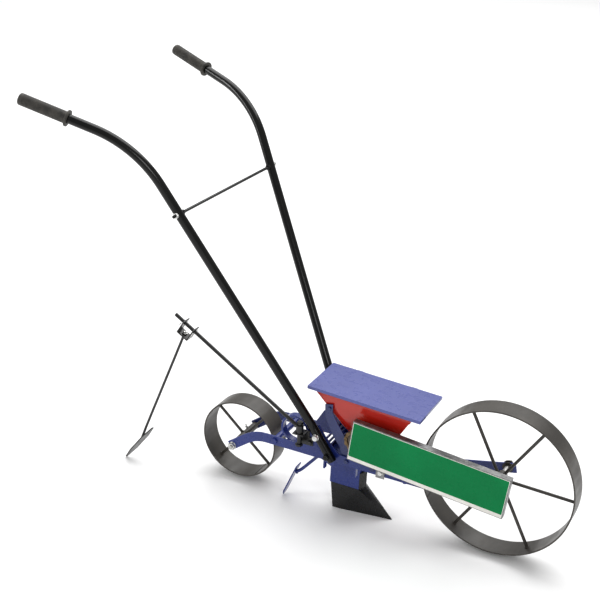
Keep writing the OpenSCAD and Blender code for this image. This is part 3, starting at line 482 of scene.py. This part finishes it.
nipple = bmesh.new()
nipple_dir = Vector((-0.42, 0, 0.907)).normalized()
nipple_at = Vector((rear_c.x, middle("rear_hub_nipple").y, rear_c.z)) + nipple_dir * 6 * mm
nipple_shape = ((2.5, 0), (2.5, 5), (3.4, 5.3), (4, 5.9), (4, 8.2), (3.4, 8.8), (1.7, 9.6), (1.5, 10.8),
                (2.2, 12.0), (2.3, 12.9), (1.7, 13.8), (0.7, 14))
turned(nipple, [(r * mm, t * mm) for r, t in nipple_shape],
       nipple_at, nipple_dir, 28)
put("nipple", nipple, zinc_plate, "zinc", "rear_hub_nipple")

rear_axle = bmesh.new()
axle_low, axle_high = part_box("rear_axle")
axle_r = (axle_high.z - axle_low.z) / 2
turned(rear_axle, [(axle_r, 0), (axle_r, 2 * plate_out)], (rear_c.x, -plate_out, rear_c.z), (0, 1, 0), 28)
for way in (-1, 1):
    threaded(rear_axle, (rear_c.x, way * plate_out, rear_c.z), (0, way, 0), 2 * axle_r,
             axle_high.y - plate_out, 1.5 * mm)
put("rear_spindle", rear_axle, shaft_steel, "shaft_steel", "rear_axle")
spindle_nuts = bmesh.new()
spindle_flats, spindle_nut, spindle_washer, spindle_washer_t = 17 * mm, 7.5 * mm, 20 * mm, 1.5 * mm
for way in (-1, 1):
    washer(spindle_nuts, (rear_c.x, way * plate_out, rear_c.z), (0, way, 0), spindle_washer,
           spindle_washer_t)
    hexagon(spindle_nuts, (rear_c.x, way * (plate_out + spindle_washer_t), rear_c.z), (0, way, 0),
            spindle_flats, spindle_nut)
put("spindle_nuts", spindle_nuts, zinc_plate, "zinc", "rear_axle_nuts")

# ---- Sprockets ----
# Two flat-cut steel sprockets for 12.7 mm chain, sixteen and twelve teeth,
# each welded to a turned boss, blackened and wet with oil.
metering_c = Vector(joints["metering_spin"]["pos_m"])
pitch = 12.7 * mm
chain_y = -70 * mm
drive_teeth, driven_teeth = 16, 12
drive_r = pitch / (2 * sin(pi / drive_teeth))
driven_r = pitch / (2 * sin(pi / driven_teeth))
centres = metering_c - front_c
chain_slope = atan2(metering_c.z - front_c.z, front_c.x - metering_c.x)
run_angle = asin((drive_r - driven_r) / centres.length)
black_steel = finish_of("blacked_steel", (0.060, 0.052, 0.045), (0.125, 0.105, 0.085), (0.26, 0.42),
                        metal=0.9, bumps=((500, 0.03),), cloud=45)


def sprocket(name, node, centre, teeth, ring_r):
    """Teeth with round seats for the rollers, on a welded boss."""
    seat, tip, thick = 4.15 * mm, 3.2 * mm, 3 * mm
    outline = []
    for i in range(teeth):
        gap = pi / 2 + run_angle - chain_slope + 2 * pi * i / teeth
        for a in range(-75, 76, 25):
            turn = gap + pi - radians(a)
            outline.append((ring_r * cos(gap) + seat * cos(turn), ring_r * sin(gap) + seat * sin(turn)))
        for a in (0.36, 0.5, 0.64):
            turn = gap + 2 * pi * a / teeth
            reach = ring_r + (tip if a == 0.5 else 0.75 * tip)
            outline.append((reach * cos(turn), reach * sin(turn)))
    mesh = bmesh.new()
    skin_over(mesh, [[Vector((centre.x + s * x, y, centre.z + s * z)) for x, z in outline]
                     for s, y in ((0.99, chain_y - thick / 2), (1, chain_y - thick / 4),
                                  (1, chain_y + thick / 4), (0.99, chain_y + thick / 2))])
    boss_r, boss_end = 12 * mm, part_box(node)[1].y
    turned(mesh, [(boss_r, 0), (boss_r, boss_end - chain_y - 0.6 * mm),
                  (boss_r - 0.6 * mm, boss_end - chain_y)],
           (centre.x, chain_y, centre.z), (0, 1, 0), 40)
    weld(mesh, circle_path((centre.x, chain_y + thick / 2, centre.z), (0, 1, 0), boss_r + 0.4 * mm, 60),
         1.1 * mm, wrap=True)
    return rounded(put(name, mesh, black_steel, "sprocket_steel", node), 0.15, 1, 50)


sprocket("front_sprocket", "drive_sprocket", front_c, drive_teeth, drive_r)
sprocket("shaft_sprocket", "driven_sprocket", metering_c, driven_teeth, driven_r)

# ---- Chain ----
# Sixty-six links of narrow roller chain: pressed plates in pairs, inner and
# outer by turns, on riveted pins with rollers, browned with old oil.
chain_steel = finish_of("oiled_chain", (0.105, 0.072, 0.040), (0.215, 0.155, 0.090), (0.24, 0.42),
                        metal=0.9, bumps=((800, 0.03),), cloud=120)
links = 66
straight = centres.length * cos(run_angle) / pitch
driven_wrap = (pi - 2 * run_angle) / (2 * pi / driven_teeth)
to_front = Vector((cos(chain_slope), 0, -sin(chain_slope)))
off_front = Vector((sin(chain_slope), 0, cos(chain_slope)))


def chain_point(u):
    """Place of a pin, u pitches along the chain from the top of the drive sprocket."""
    contact = pi / 2 + run_angle

    def rim(centre, radius, a):
        return centre + (to_front * cos(a) + off_front * sin(a)) * radius

    if u < straight:
        return rim(front_c, drive_r, contact).lerp(rim(metering_c, driven_r, contact), u / straight)
    u -= straight
    if u < driven_wrap:
        return rim(metering_c, driven_r, contact + u * 2 * pi / driven_teeth)
    u -= driven_wrap
    if u < straight:
        return rim(metering_c, driven_r, -contact).lerp(rim(front_c, drive_r, -contact), u / straight)
    return rim(front_c, drive_r, -contact + (u - straight) * 2 * pi / drive_teeth)


def link_plate(mesh, one, two, y0, y1):
    """A waisted plate between two pins."""
    along = (two - one).normalized()
    across = Vector((-along.z, 0, along.x))
    end_r, waist = 4.1 * mm, 3.1 * mm
    outline = []
    for centre, way in ((two, 1), (one, -1)):
        for a in range(-90, 91, 30):
            outline.append(centre + (along * cos(radians(a)) + across * sin(radians(a))) * way * end_r)
        outline.append((one + two) / 2 + across * way * waist)
    skin_over(mesh, [[p + Vector((0, y - p.y, 0)) for p in outline] for y in (y0, y1)])


chain = bmesh.new()
pins = [chain_point(i) for i in range(links)]
inner_at, outer_at, plate_t = 1.7 * mm, 2.95 * mm, 1.15 * mm
for i, pin in enumerate(pins):
    inside = outer_at if i % 2 else inner_at
    for way in (-1, 1):
        link_plate(chain, pin, pins[(i + 1) % links], chain_y + way * inside,
                   chain_y + way * (inside + plate_t))
    turned(chain, [(3.9 * mm, 0), (3.9 * mm, 2 * inner_at - 0.3 * mm)],
           (pin.x, chain_y - inner_at + 0.15 * mm, pin.z), (0, 1, 0), 14)
    turned(chain, [(1.3 * mm, 0), (1.85 * mm, 0.3 * mm), (1.85 * mm, 8.1 * mm), (1.3 * mm, 8.4 * mm)],
           (pin.x, chain_y - 4.2 * mm, pin.z), (0, 1, 0), 10)
put("roller_chain", chain, chain_steel, "chain_steel", "drive_chain")

# ---- Metering ----
# The driven shaft turns a pocketed seed roller in a cast housing under the
# hopper; a bristle brush wipes the spare seed off before the boot.
roller_plastic = finish_of("turned_plastic", (0.60, 0.575, 0.48), (0.72, 0.69, 0.60), (0.32, 0.46),
                           bumps=((500, 0.03),), cloud=30)
brush_bristle = finish_of("bristle", (0.030, 0.024, 0.018), (0.075, 0.058, 0.040), (0.55, 0.75),
                          bumps=((1200, 0.10),), cloud=300)
cast_metal = finish_of("cast_metal", (0.40, 0.405, 0.41), (0.53, 0.535, 0.54), (0.42, 0.60), metal=1.0,
                       bumps=((330, 0.20), (1400, 0.05)), cloud=25)
made_from("metering_shaft", shaft_steel, "shaft_steel", 0.8)
made_from("shaft_bushes", bush_iron, "bush_iron", 0.3)
made_from("shaft_collars", shaft_steel, "shaft_steel", 0.5)
made_from("seed_roller", roller_plastic, "roller_plastic", 0.4)
made_from("metering_housing", cast_metal, "cast_aluminium", 0.8)

brush = bmesh.new()
brush_low, brush_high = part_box("roller_brush")
bar_low = brush_high.z - 6 * mm
rear_top, rear_foot = brush_low.x, brush_low.x + 4.6 * mm
skin_over(brush, [[Vector((rear_foot, y, bar_low)), Vector((brush_high.x, y, bar_low)),
                   Vector((brush_high.x, y, brush_high.z)), Vector((rear_top, y, brush_high.z))]
                  for y in (brush_low.y, brush_high.y)])
tufts_x, tufts_y, tuft_gap, tuft_r = 3, 12, 2.6 * mm, 1.05 * mm
for i in range(tufts_x):
    for j in range(tufts_y):
        root = Vector((brush_high.x - (1.3 + 2.5 * i) * mm, (j - (tufts_y - 1) / 2) * tuft_gap,
                       bar_low + 0.3 * mm))
        sway = 0.5 * mm * noise.noise(root * 900)
        swept(brush, [root, root + Vector((sway, sway, -2.4 * mm)),
                      Vector((root.x + 2 * sway, root.y, brush_low.z))],
              [tuft_r, tuft_r, 1.2 * tuft_r], 9)
put("bristle_brush", brush, brush_bristle, "brush_bristle", "roller_brush")

housing_bolts = bmesh.new()
bolts_low, bolts_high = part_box("housing_bolts")
head_r = 4.6 * mm
for x in (bolts_low.x + head_r, bolts_high.x - head_r):
    for y in (bolts_low.y + 4 * mm, bolts_high.y - 4 * mm):
        hexagon(housing_bolts, (x, y, bolts_low.z), (0, 0, 1), m5_flats, 3.5 * mm)
        threaded(housing_bolts, (x, y, bolts_low.z + 3 * mm), (0, 0, 1), m5,
                 bolts_high.z - bolts_low.z - 3 * mm, m5_pitch)
put("housing_screws", housing_bolts, zinc_plate, "zinc", "housing_bolts")

# ---- Chain guard ----
# One galvanised sheet folded into a tray over the chain, hung on two lugs; its
# outer face carries a printed panel, green inside a thin pale border.
guard_steel = finish_of("galvanised_sheet", (0.200, 0.200, 0.200), (0.300, 0.300, 0.300), (0.30, 0.46),
                        metal=0.85, bumps=((45, 0.10), (600, 0.02)), cloud=70)
panel_pale = finish_of("pale_print", (0.70, 0.68, 0.64), (0.80, 0.78, 0.74), (0.22, 0.32), coat=0.3,
                       bumps=((300, 0.02),), cloud=12)
panel_green = finish_of("green_print", (0.000, 0.185, 0.058), (0.000, 0.220, 0.070), (0.24, 0.34),
                        specular=0.2, bumps=((300, 0.02), (9, 0.5)), cloud=7)
made_from("chain_guard", guard_steel, "guard_steel", 0.5)
tilt = radians(5.7)
guard_along = Vector((cos(tilt), 0, -sin(tilt)))
guard_up = Vector((sin(tilt), 0, cos(tilt)))
panel_c = middle("guard_panel")
panel_l, panel_h = 378 * mm, 98 * mm
border, foot_strip = 1.2 * mm, 9 * mm


def sheet_on_guard(name, material, left, low, right, high, y_back, y_front):
    """A thin flat piece on the guard's face, from its lower rear corner to its upper front one."""
    mesh = bmesh.new()
    corner_r = 1.5 * mm
    outline = []
    for cx, cz, first in ((right - corner_r, high - corner_r, 0), (left + corner_r, high - corner_r, 90),
                          (left + corner_r, low + corner_r, 180), (right - corner_r, low + corner_r, 270)):
        for a in (0, 45, 90):
            turn = radians(first + a)
            outline.append((cx + corner_r * cos(turn), cz + corner_r * sin(turn)))
    skin_over(mesh,
              [[panel_c + guard_along * x + guard_up * z + Vector((0, y - panel_c.y, 0)) for x,
                z in outline]
                     for y in (y_back, y_front)])
    return rounded(put(name, mesh, material, "panel_green", body="frame"), 0.12, 1)


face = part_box("guard_panel")[0].y
back_plate = sheet_on_guard("panel_backing", panel_pale, -panel_l / 2, -panel_h / 2, panel_l / 2,
                            panel_h / 2, face + 1.0 * mm, face + 0.3 * mm)
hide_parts("guard_panel")
sheet_on_guard("panel_field", panel_green, -panel_l / 2 + border, -panel_h / 2 + foot_strip,
               panel_l / 2 - border, panel_h / 2 - border, face + 0.35 * mm, face)

guard_bolts = bmesh.new()
lug_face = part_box("guard_bolts")[0].y
for (x, z), flats, size in (((178 * mm, 157 * mm), m6_flats, m6), ((300 * mm, 166.3 * mm), m5_flats, m5)):
    hexagon(guard_bolts, (x, lug_face, z), (0, 1, 0), flats, 4 * mm)
    washer(guard_bolts, (x, lug_face + 3.4 * mm, z), (0, 1, 0), 1.25 * flats, 0.6 * mm)
    turned(guard_bolts, [(size / 2, 0), (size / 2, 8 * mm)], (x, lug_face + 3 * mm, z), (0, 1, 0), 16)
    hexagon(guard_bolts, (x, -plate_in, z), (0, 1, 0), flats, 5 * mm)
    threaded(guard_bolts, (x, -plate_in + 4.5 * mm, z), (0, 1, 0), size, 3.5 * mm, 1.0 * mm)
put("guard_screws", guard_bolts, zinc_plate, "zinc", "guard_bolts")

# ---- Hopper ----
# Four tapering walls of 2 mm sheet, welded at the corners and sprayed with red
# gloss enamel; cut brackets of thicker plate bolt it between the side plates.
hopper_red = finish_of("red_enamel", (0.40, 0.016, 0.010), (0.48, 0.026, 0.014), (0.14, 0.24), coat=0.5,
                       bumps=((380, 0.04), (22, 0.6)), cloud=8)
bracket_navy = finish_of("navy_enamel", (0.018, 0.028, 0.110), (0.026, 0.038, 0.150), (0.20, 0.34),
                         coat=0.35, bumps=((420, 0.05), (35, 0.25)))
made_from("hopper", hopper_red, "hopper_red", 0.4)
hopper_low, hopper_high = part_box("hopper")
seams = bmesh.new()
throat_z, throat_x, throat_w = 240 * mm, (73 * mm, 199 * mm), 88 * mm
mouth_w = hopper_high.y - hopper_low.y
for way in (-1, 1):
    for x_low, x_high, z_high in ((throat_x[0], hopper_low.x + 0.2 * mm, hopper_high.z - 2 * mm),
                                  (throat_x[1], hopper_high.x - 0.3 * mm, hopper_high.z - 14.5 * mm)):
        corner = straight_path((x_low, way * throat_w / 2, throat_z),
                               (x_high, way * (mouth_w / 2 - 0.3 * mm), z_high), 0.0015)
        weld(seams, corner, 1.0 * mm)
put("hopper_seams", seams, hopper_red, "hopper_red", body="frame")
made_from("rear_hopper_brackets", bracket_navy, "bracket_navy", 0.5)
made_from("front_hopper_brackets", bracket_navy, "bracket_navy", 0.5)

hopper_bolts = bmesh.new()
ear_x, ear_z = 38 * mm, 284 * mm
foot_xs, foot_z, foot_reach = (91 * mm, 157 * mm), 160 * mm, 9 * mm
for way in (-1, 1):
    hexagon(hopper_bolts, (ear_x, way * plate_in, ear_z), (0, way, 0), m5_flats, 3.5 * mm)
    threaded(hopper_bolts, (ear_x, way * plate_in, ear_z), (0, -way, 0), m5, plate_in - throat_w / 2,
             m5_pitch)
    for x in foot_xs:
        hexagon(hopper_bolts, (x, way * plate_out, foot_z), (0, way, 0), m6_flats, 4 * mm)
        threaded(hopper_bolts, (x, way * plate_out, foot_z), (0, -way, 0), m6,
                 plate_out - plate_in + foot_reach, m6_pitch)
put("hopper_screws", hopper_bolts, bracket_navy, "bracket_navy", "hopper_bolts")

# ---- Lid ----
# A flat sheet with a folded rim in the frame's blue enamel, coloured lighter and greyer with painted sheen
# of the overhead light, hung on the left on two hinges whose outer knuckles are welded to the hopper.
# The lid's blue enamel with painted sheen of the overhead light mixed into its colour, lighter and greyer
# than frame_blue.
lid_blue = finish_of("lid_enamel_and_painted_sheen", (0.075, 0.090, 0.280), (0.092, 0.108, 0.325), (0.24, 0.34), coat=0.35,
                     bumps=((420, 0.03), (14, 0.2)), cloud=6)
made_from("hopper_lid", lid_blue, "lid_blue", 0.9, 3)
made_from("lid_knuckles", lid_blue, "lid_blue", 0.4)
made_from("hopper_hinges", zinc_plate, "zinc", 0.4)
made_from("hinge_pins", zinc_plate, "zinc", 0.5)

# ---- Seed boot and opener ----
# A folded sheet chute drops the seed into a welded black shoe, which opens the
# furrow; two straps across the plates carry both.
opener_black = finish_of("black_enamel", (0.0050, 0.0050, 0.0054), (0.0100, 0.0100, 0.0104), (0.20, 0.36),
                         coat=0.15, bumps=((420, 0.06), (40, 0.35)))
made_from("seed_boot", frame_blue, "frame_blue", 0.6)
made_from("boot_straps", frame_blue, "frame_blue", 0.4)
opener = made_from("furrow_opener", opener_black, "opener_black", 0.5)
opener.modifiers["edges"].use_clamp_overlap = True
opener_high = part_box("furrow_opener")[1]
shoe_weld = bmesh.new()
nose_x, shoulder_z, boot_front, shoe_half = 121 * mm, 68 * mm, 111 * mm, 21 * mm
weld(shoe_weld, straight_path((opener_high.x - 1.5 * mm, 0, 1.5 * mm), (nose_x, 0, shoulder_z - 1 * mm)),
     1.5 * mm)
weld(shoe_weld, straight_path((nose_x - 0.6 * mm, 0, shoulder_z),
                              (nose_x - 0.6 * mm, 0, opener_high.z - 1 * mm)), 1.2 * mm)
for way in (-1, 1):
    weld(shoe_weld, straight_path((boot_front, way * shoe_half, shoulder_z - 0.4 * mm),
                                  (nose_x, way * 1.0 * mm, shoulder_z - 0.4 * mm)), 1.3 * mm)
    weld(shoe_weld, straight_path((39 * mm, way * (shoe_half - 0.2 * mm), shoulder_z - 0.3 * mm),
                                  (boot_front, way * (shoe_half - 0.2 * mm), shoulder_z - 0.3 * mm),
                                  0.0012), 0.8 * mm)
put("shoe_weld", shoe_weld, opener_black, "opener_black", body="frame")

# ---- Coverer ----
# A rod trails from a welded pin, bent at its end and welded to a flat blade
# that draws soil back over the seed; it lifts by itself over stones.
made_from("coverer_pin", shaft_steel, "shaft_steel", 0.4)
made_from("coverer_blade", frame_blue, "frame_blue", 0.7)
coverer_c = Vector(joints["coverer_lift"]["pos_m"])
coverer_tip = Vector((-41 * mm, coverer_c.y, 79 * mm))
trail = (coverer_tip - coverer_c).normalized()
coverer = bmesh.new()
eye_r, eye_w, pin_r, arm_rod_r = 8 * mm, 16 * mm, 4.1 * mm, 4 * mm
turned(coverer, [(pin_r, 0.6 * mm), (pin_r + 0.6 * mm, 0), (eye_r - 0.8 * mm, 0), (eye_r, 0.8 * mm),
                 (eye_r, eye_w - 0.8 * mm), (eye_r - 0.8 * mm, eye_w), (pin_r + 0.6 * mm, eye_w),
                 (pin_r, eye_w - 0.6 * mm)],
       coverer_c - Vector((0, eye_w / 2, 0)), (0, 1, 0), 40, hollow=True)
blade_seat = Vector((-50.5 * mm, coverer_c.y, 74 * mm))
bend_start = coverer_tip - trail * 14 * mm
arm_line = [coverer_c + trail * (eye_r - 0.5 * mm)]
for i in range(9):
    arm_line.append(bend_start.lerp(coverer_tip, i / 8).lerp(coverer_tip.lerp(blade_seat, i / 8), i / 8))
swept(coverer, arm_line, arm_rod_r, 24)
weld(coverer, circle_path(coverer_c + trail * (eye_r + 0.2 * mm), trail, 4.2 * mm, 40), 1.2 * mm, wrap=True)
seat_dir = (blade_seat - coverer_tip).normalized()
weld(coverer, circle_path(blade_seat - seat_dir * 1.5 * mm, seat_dir, 4.6 * mm, 44), 1.6 * mm, wrap=True)
put("coverer_arm", coverer, frame_blue, "frame_blue", "coverer_rod")

# ---- Handles ----
# Two lengths of half-inch steel pipe, bent at the foot and again below the
# hands, in gloss black; two bolts through each foot hold it to its side plate,
# the upper one with a zinc nut and the lower one painted over.
handle_black = finish_of("gloss_black", (0.0036, 0.0036, 0.0034), (0.0070, 0.0070, 0.0066), (0.14, 0.24),
                         coat=0.2, specular=0.3, bumps=((380, 0.04), (30, 0.3)))
tube_r, tube_wall = 10.65 * mm, 2.6 * mm
foot = Vector((60 * mm, 72.95 * mm, 157 * mm))
knee = Vector((3 * mm, 72.95 * mm, 236 * mm))
elbow = Vector((-361.9 * mm, 254.9 * mm, 889.6 * mm))
hand = Vector((-618.8 * mm, 316.1 * mm, 966.4 * mm))


def bend(before, at, after, radius, steps):
    """Points round a bend of that radius at a corner."""
    into, out = (at - before).normalized(), (after - at).normalized()
    turn = into.angle(out)
    inward = (out - into * into.dot(out)).normalized()
    first = at - into * radius * tan(turn / 2)
    return [first + into * radius * sin(turn * i / steps) + inward * radius * (1 - cos(turn * i / steps))
            for i in range(steps + 1)]


def mirrored(points, way):
    return [Vector((p.x, way * p.y, p.z)) for p in points]


knee_bend_r, elbow_bend_r = 70 * mm, 250 * mm
low_bend = bend(foot, knee, elbow, knee_bend_r, 14)
high_bend = bend(knee, elbow, hand, elbow_bend_r, 28)
long_run = [low_bend[-1].lerp(high_bend[0], i / 8) for i in range(1, 8)]
grip_l = 116 * mm
hand_dir = (hand - elbow).normalized()
pipe_line = [foot] + low_bend + long_run + high_bend + [hand - hand_dir * 2 * mm]
pipe_bore = tube_r - tube_wall
for side, way in (("right", -1), ("left", 1)):
    line = mirrored(pipe_line, way)
    rings = rings_along(line, [tube_r] * len(line), 36)
    into = (line[1] - line[0]).normalized()

    def mouth(radius, depth):
        return [line[0] + (p - line[0]) * (radius / tube_r) + into * depth for p in rings[0]]

    mesh = bmesh.new()
    skin_over(mesh, [mouth(pipe_bore, 30 * mm), mouth(pipe_bore, 0.4 * mm), mouth(pipe_bore + 0.4 * mm, 0),
                     mouth(tube_r - 0.5 * mm, 0), mouth(tube_r, 0.5 * mm)] + rings[1:])
    put(side + "_pipe", mesh, handle_black, "handle_black", side + "_handle_tube")

bolt_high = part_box("handle_bolts")[1]
pipe_out = foot.y + tube_r
m8_washer_t = 1.5 * mm
for name, share, coating, slot in (("upper_foot_bolts", 0.28, zinc_plate, "zinc"),
                                   ("lower_foot_bolts", 0.82, handle_black, "handle_black")):
    foot_bolts = bmesh.new()
    at = knee.lerp(foot, share)
    for way in (-1, 1):
        hexagon(foot_bolts, (at.x, way * plate_in, at.z), (0, -way, 0), m8_flats, m8_head)
        turned(foot_bolts, [(m8 / 2, 0), (m8 / 2, pipe_out - plate_in)], (at.x, way * plate_in, at.z),
               (0, way, 0), 20)
        washer(foot_bolts, (at.x, way * pipe_out, at.z), (0, way, 0), 2 * m8, m8_washer_t)
        hexagon(foot_bolts, (at.x, way * (pipe_out + m8_washer_t), at.z), (0, way, 0), m8_flats, m8_nut)
        threaded(foot_bolts, (at.x, way * (pipe_out + 2 * mm), at.z), (0, way, 0), m8,
                 bolt_high.y - pipe_out - 2 * mm, m8_pitch)
    put(name, foot_bolts, coating, slot, "handle_bolts")

# ---- Grips ----
# Moulded black rubber, pushed over the pipe ends: a guard flange at the front,
# fine ribs round the palm and a closed, rounded end.
grip_rubber = finish_of("moulded_rubber", (0.040, 0.038, 0.035), (0.075, 0.070, 0.062), (0.46, 0.64),
                        bumps=((900, 0.12), (120, 0.10)), cloud=60, specular=0.4)
grip_r, flange_r, flange_w, rib_gap = 13.5 * mm, 18.5 * mm, 5 * mm, 3.2 * mm
for side, way in (("right", -1), ("left", 1)):
    start = hand - hand_dir * grip_l
    profile = [(tube_r + 0.1 * mm, 0), (flange_r - 1.4 * mm, 0), (flange_r - 0.4 * mm, 0.5 * mm),
               (flange_r, 1.5 * mm),
               (flange_r, flange_w - 1.5 * mm), (flange_r - 0.5 * mm, flange_w - 0.4 * mm),
               (flange_r - 1.6 * mm, flange_w), (grip_r - 0.2 * mm, flange_w + 1.6 * mm)]
    t = flange_w + 4 * mm
    while t < grip_l - 12 * mm:
        profile += [(grip_r - 0.15 * mm, t), (grip_r, t + 0.4 * mm), (grip_r, t + rib_gap - 1.0 * mm),
                    (grip_r - 0.15 * mm, t + rib_gap - 0.7 * mm),
                    (grip_r - 0.9 * mm, t + rib_gap - 0.35 * mm)]
        t += rib_gap
    profile += [(grip_r, t + 0.4 * mm), (grip_r, grip_l - 4 * mm), (grip_r - 0.8 * mm, grip_l - 1.6 * mm),
                (grip_r - 2.6 * mm, grip_l - 0.3 * mm), (grip_r - 5 * mm, grip_l), (2 * mm, grip_l)]
    mesh = bmesh.new()
    turned(mesh, profile, Vector((start.x, way * start.y, start.z)),
           (hand_dir.x, way * hand_dir.y, hand_dir.z), 44)
    put(side + "_hand_grip", mesh, grip_rubber, "grip_rubber", side + "_grip")

# ---- Cross rod ----
# A thin rod, threaded at both ends, ties the handles together; a nut on each
# side of each pipe sets the spread.
cross_low, cross_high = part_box("cross_rod")
cross_at = (cross_low + cross_high) / 2
rod_r, thread_l = (cross_high.x - cross_low.x) / 2, 46 * mm
cross = bmesh.new()
turned(cross, [(rod_r, 0), (rod_r, cross_high.y - cross_low.y - 2 * thread_l)],
       (cross_at.x, cross_low.y + thread_l, cross_at.z), (0, 1, 0), 20)
for way in (-1, 1):
    threaded(cross, (cross_at.x, way * (cross_high.y - thread_l), cross_at.z), (0, way, 0), 2 * rod_r,
             thread_l, 0.8 * mm)
put("handle_tie", cross, handle_black, "handle_black", "cross_rod")
tie_flats, tie_nut, tie_gap, tie_washer, tie_washer_t = 12 * mm, 4 * mm, 2.2 * mm, 13 * mm, 1.0 * mm
pipe_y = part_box("cross_rod_nuts")[1].y - tube_r - tie_gap - tie_nut
for name, off, coating, slot in (("inner_tie_nuts", -1, handle_black, "handle_black"),
                                 ("outer_tie_nuts", 1, zinc_plate, "zinc")):
    tie_nuts = bmesh.new()
    for way in (-1, 1):
        y = pipe_y + off * (tube_r + tie_gap)
        hexagon(tie_nuts, (cross_at.x, way * y, cross_at.z), (0, way * off, 0), tie_flats, tie_nut)
        washer(tie_nuts, (cross_at.x, way * (y - off * tie_washer_t), cross_at.z), (0, way * off, 0),
               tie_washer, tie_washer_t)
    put(name, tie_nuts, coating, slot, "cross_rod_nuts")

# ---- Row marker ----
# A black rod swings out on a pin beside the frame. A bent strap rides its tip
# between two split pins and carries a thin drop rod with a leaf-shaped blade.
marker_black = finish_of("satin_black", (0.0080, 0.0080, 0.0078), (0.0170, 0.0168, 0.0160), (0.26, 0.42),
                         coat=0.25, bumps=((420, 0.06), (50, 0.25)))
made_from("marker_bracket", marker_black, "marker_black", 0.6)
made_from("marker_clamp", marker_black, "marker_black", 0.9, 3)
swing_c = Vector(joints["marker_swing"]["pos_m"])
turn_c = Vector(joints["marker_turn"]["pos_m"])
arm_dir = Vector(joints["marker_turn"]["axis"]).normalized()

pivot = bmesh.new()
pivot_low, pivot_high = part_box("marker_pivot")
pivot_d, nut_drop = 10 * mm, 7 * mm
turned(pivot, [(pivot_d / 2, 0), (pivot_d / 2, pivot_high.z - pivot_low.z - nut_drop)],
       (swing_c.x, swing_c.y, pivot_low.z), (0, 0, 1), 24)
hexagon(pivot, (swing_c.x, swing_c.y, pivot_low.z), (0, 0, 1), 16 * mm, 6 * mm)
hexagon(pivot, (swing_c.x, swing_c.y, pivot_high.z - nut_drop), (0, 0, 1), 14 * mm, 6 * mm)
threaded(pivot, (swing_c.x, swing_c.y, pivot_high.z - 8 * mm), (0, 0, 1), pivot_d, 8 * mm, 1.5 * mm)
strap_t = 3 * mm
for x in (-30 * mm, -4 * mm):
    bracket_bolt = (x, -plate_out - strap_t, 184 * mm)
    hexagon(pivot, bracket_bolt, (0, -1, 0), m6_flats, 4 * mm)
    threaded(pivot, bracket_bolt, (0, 1, 0), m6, 14 * mm, m6_pitch)
put("marker_pin", pivot, marker_black, "marker_black", "marker_pivot")

arm = bmesh.new()
sleeve_low, sleeve_h, sleeve_r, sleeve_bore = 214.3 * mm, 20 * mm, 9 * mm, pivot_d / 2 + 0.05 * mm
turned(arm, [(sleeve_bore, 0.5 * mm), (sleeve_bore + 0.5 * mm, 0), (sleeve_r - 0.6 * mm, 0),
             (sleeve_r, 0.6 * mm), (sleeve_r, sleeve_h - 0.6 * mm), (sleeve_r - 0.6 * mm, sleeve_h),
             (sleeve_bore + 0.5 * mm, sleeve_h), (sleeve_bore, sleeve_h - 0.5 * mm)],
       (swing_c.x, swing_c.y, sleeve_low), (0, 0, 1), 40, hollow=True)
arm_root = swing_c + arm_dir * 9.3 * mm
arm_tip = Vector((-366 * mm, swing_c.y, 435 * mm))
arm_r = 4.5 * mm
arm_l = (arm_tip - arm_root).length
turned(arm, [(arm_r, 0), (arm_r, arm_l - 0.8 * mm), (arm_r - 0.8 * mm, arm_l)], arm_root, arm_dir, 28)
weld(arm, circle_path(arm_root + arm_dir * 1.2 * mm, arm_dir, arm_r + 0.6 * mm, 44), 1.7 * mm, wrap=True)
put("swing_arm", arm, marker_black, "marker_black", "marker_arm")

split_pins = bmesh.new()
wire, leg, eye = 0.85 * mm, 14 * mm, 2.4 * mm
clamp_half = 19.25 * mm
side_dir = Vector((0, -1, 0))
lift = arm_dir.cross(side_dir).normalized()
for way in (-1, 1):
    at = turn_c + arm_dir * way * clamp_half
    head = at + side_dir * leg
    loop = [head + side_dir * eye * (1 - cos(a)) + lift * 1.25 * eye * sin(a)
            for a in (radians(20 + 20 * i) for i in range(17))]
    for bent in (-1, 1):
        bow = at - side_dir * leg + lift * bent * 3.2 * mm
        swept(split_pins, [head + lift * bent * 0.55 * mm, at + lift * bent * 0.5 * mm,
                           at - side_dir * (leg - 5 * mm) + lift * bent * 0.6 * mm, bow], [wire * 0.6] * 4,
              8)
    swept(split_pins, loop, wire, 10)
put("split_pins", split_pins, zinc_plate, "zinc", "marker_cotters")

down_dir = Vector((-arm_dir.z, 0, arm_dir.x))
clamp_drop = 28 * mm
nut = bmesh.new()
hexagon(nut, turn_c + down_dir * (clamp_drop - strap_t), -down_dir, m6_flats, 5 * mm)
threaded(nut, turn_c + down_dir * clamp_drop, -down_dir, m6, 11 * mm, m6_pitch)
put("clamp_nut", nut, zinc_plate, "zinc", "marker_nut")

drop = bmesh.new()
drop_top = turn_c + down_dir * (clamp_drop + 1 * mm)
drop_end = Vector((-462 * mm, swing_c.y, 70 * mm))
drop_dir = (drop_end - drop_top).normalized()
turned(drop, [(5.0 * mm, 0), (5.5 * mm, 0.5 * mm), (5.5 * mm, 5.2 * mm), (4.6 * mm, 6 * mm)],
       turn_c + down_dir * clamp_drop, down_dir, 28)
drop_line = [drop_top + down_dir * 1.5 * mm]
for i in range(7):
    bulge = down_dir * 3.5 * mm * (1 - i / 6) * (i / 6)
    drop_line.append(drop_top + bulge + drop_dir * (3 + 2 * i) * mm)
bend_end = drop_line[-1]
drop_line += [bend_end.lerp(drop_end, i / 10) for i in range(1, 11)]
drop_r, tip_r = 3.25 * mm, 2.4 * mm
swept(drop, drop_line, [drop_r] * (len(drop_line) - 1) + [tip_r], 20)
beside = Vector((tip_r, 0, 0))
weld(drop, straight_path(drop_end - drop_dir * 32 * mm + beside, drop_end - drop_dir * 6 * mm + beside),
     1.4 * mm)
put("drop_rod", drop, marker_black, "marker_black", "marker_rod")
made_from("marker_blade", marker_black, "marker_black", 0.9, 2)
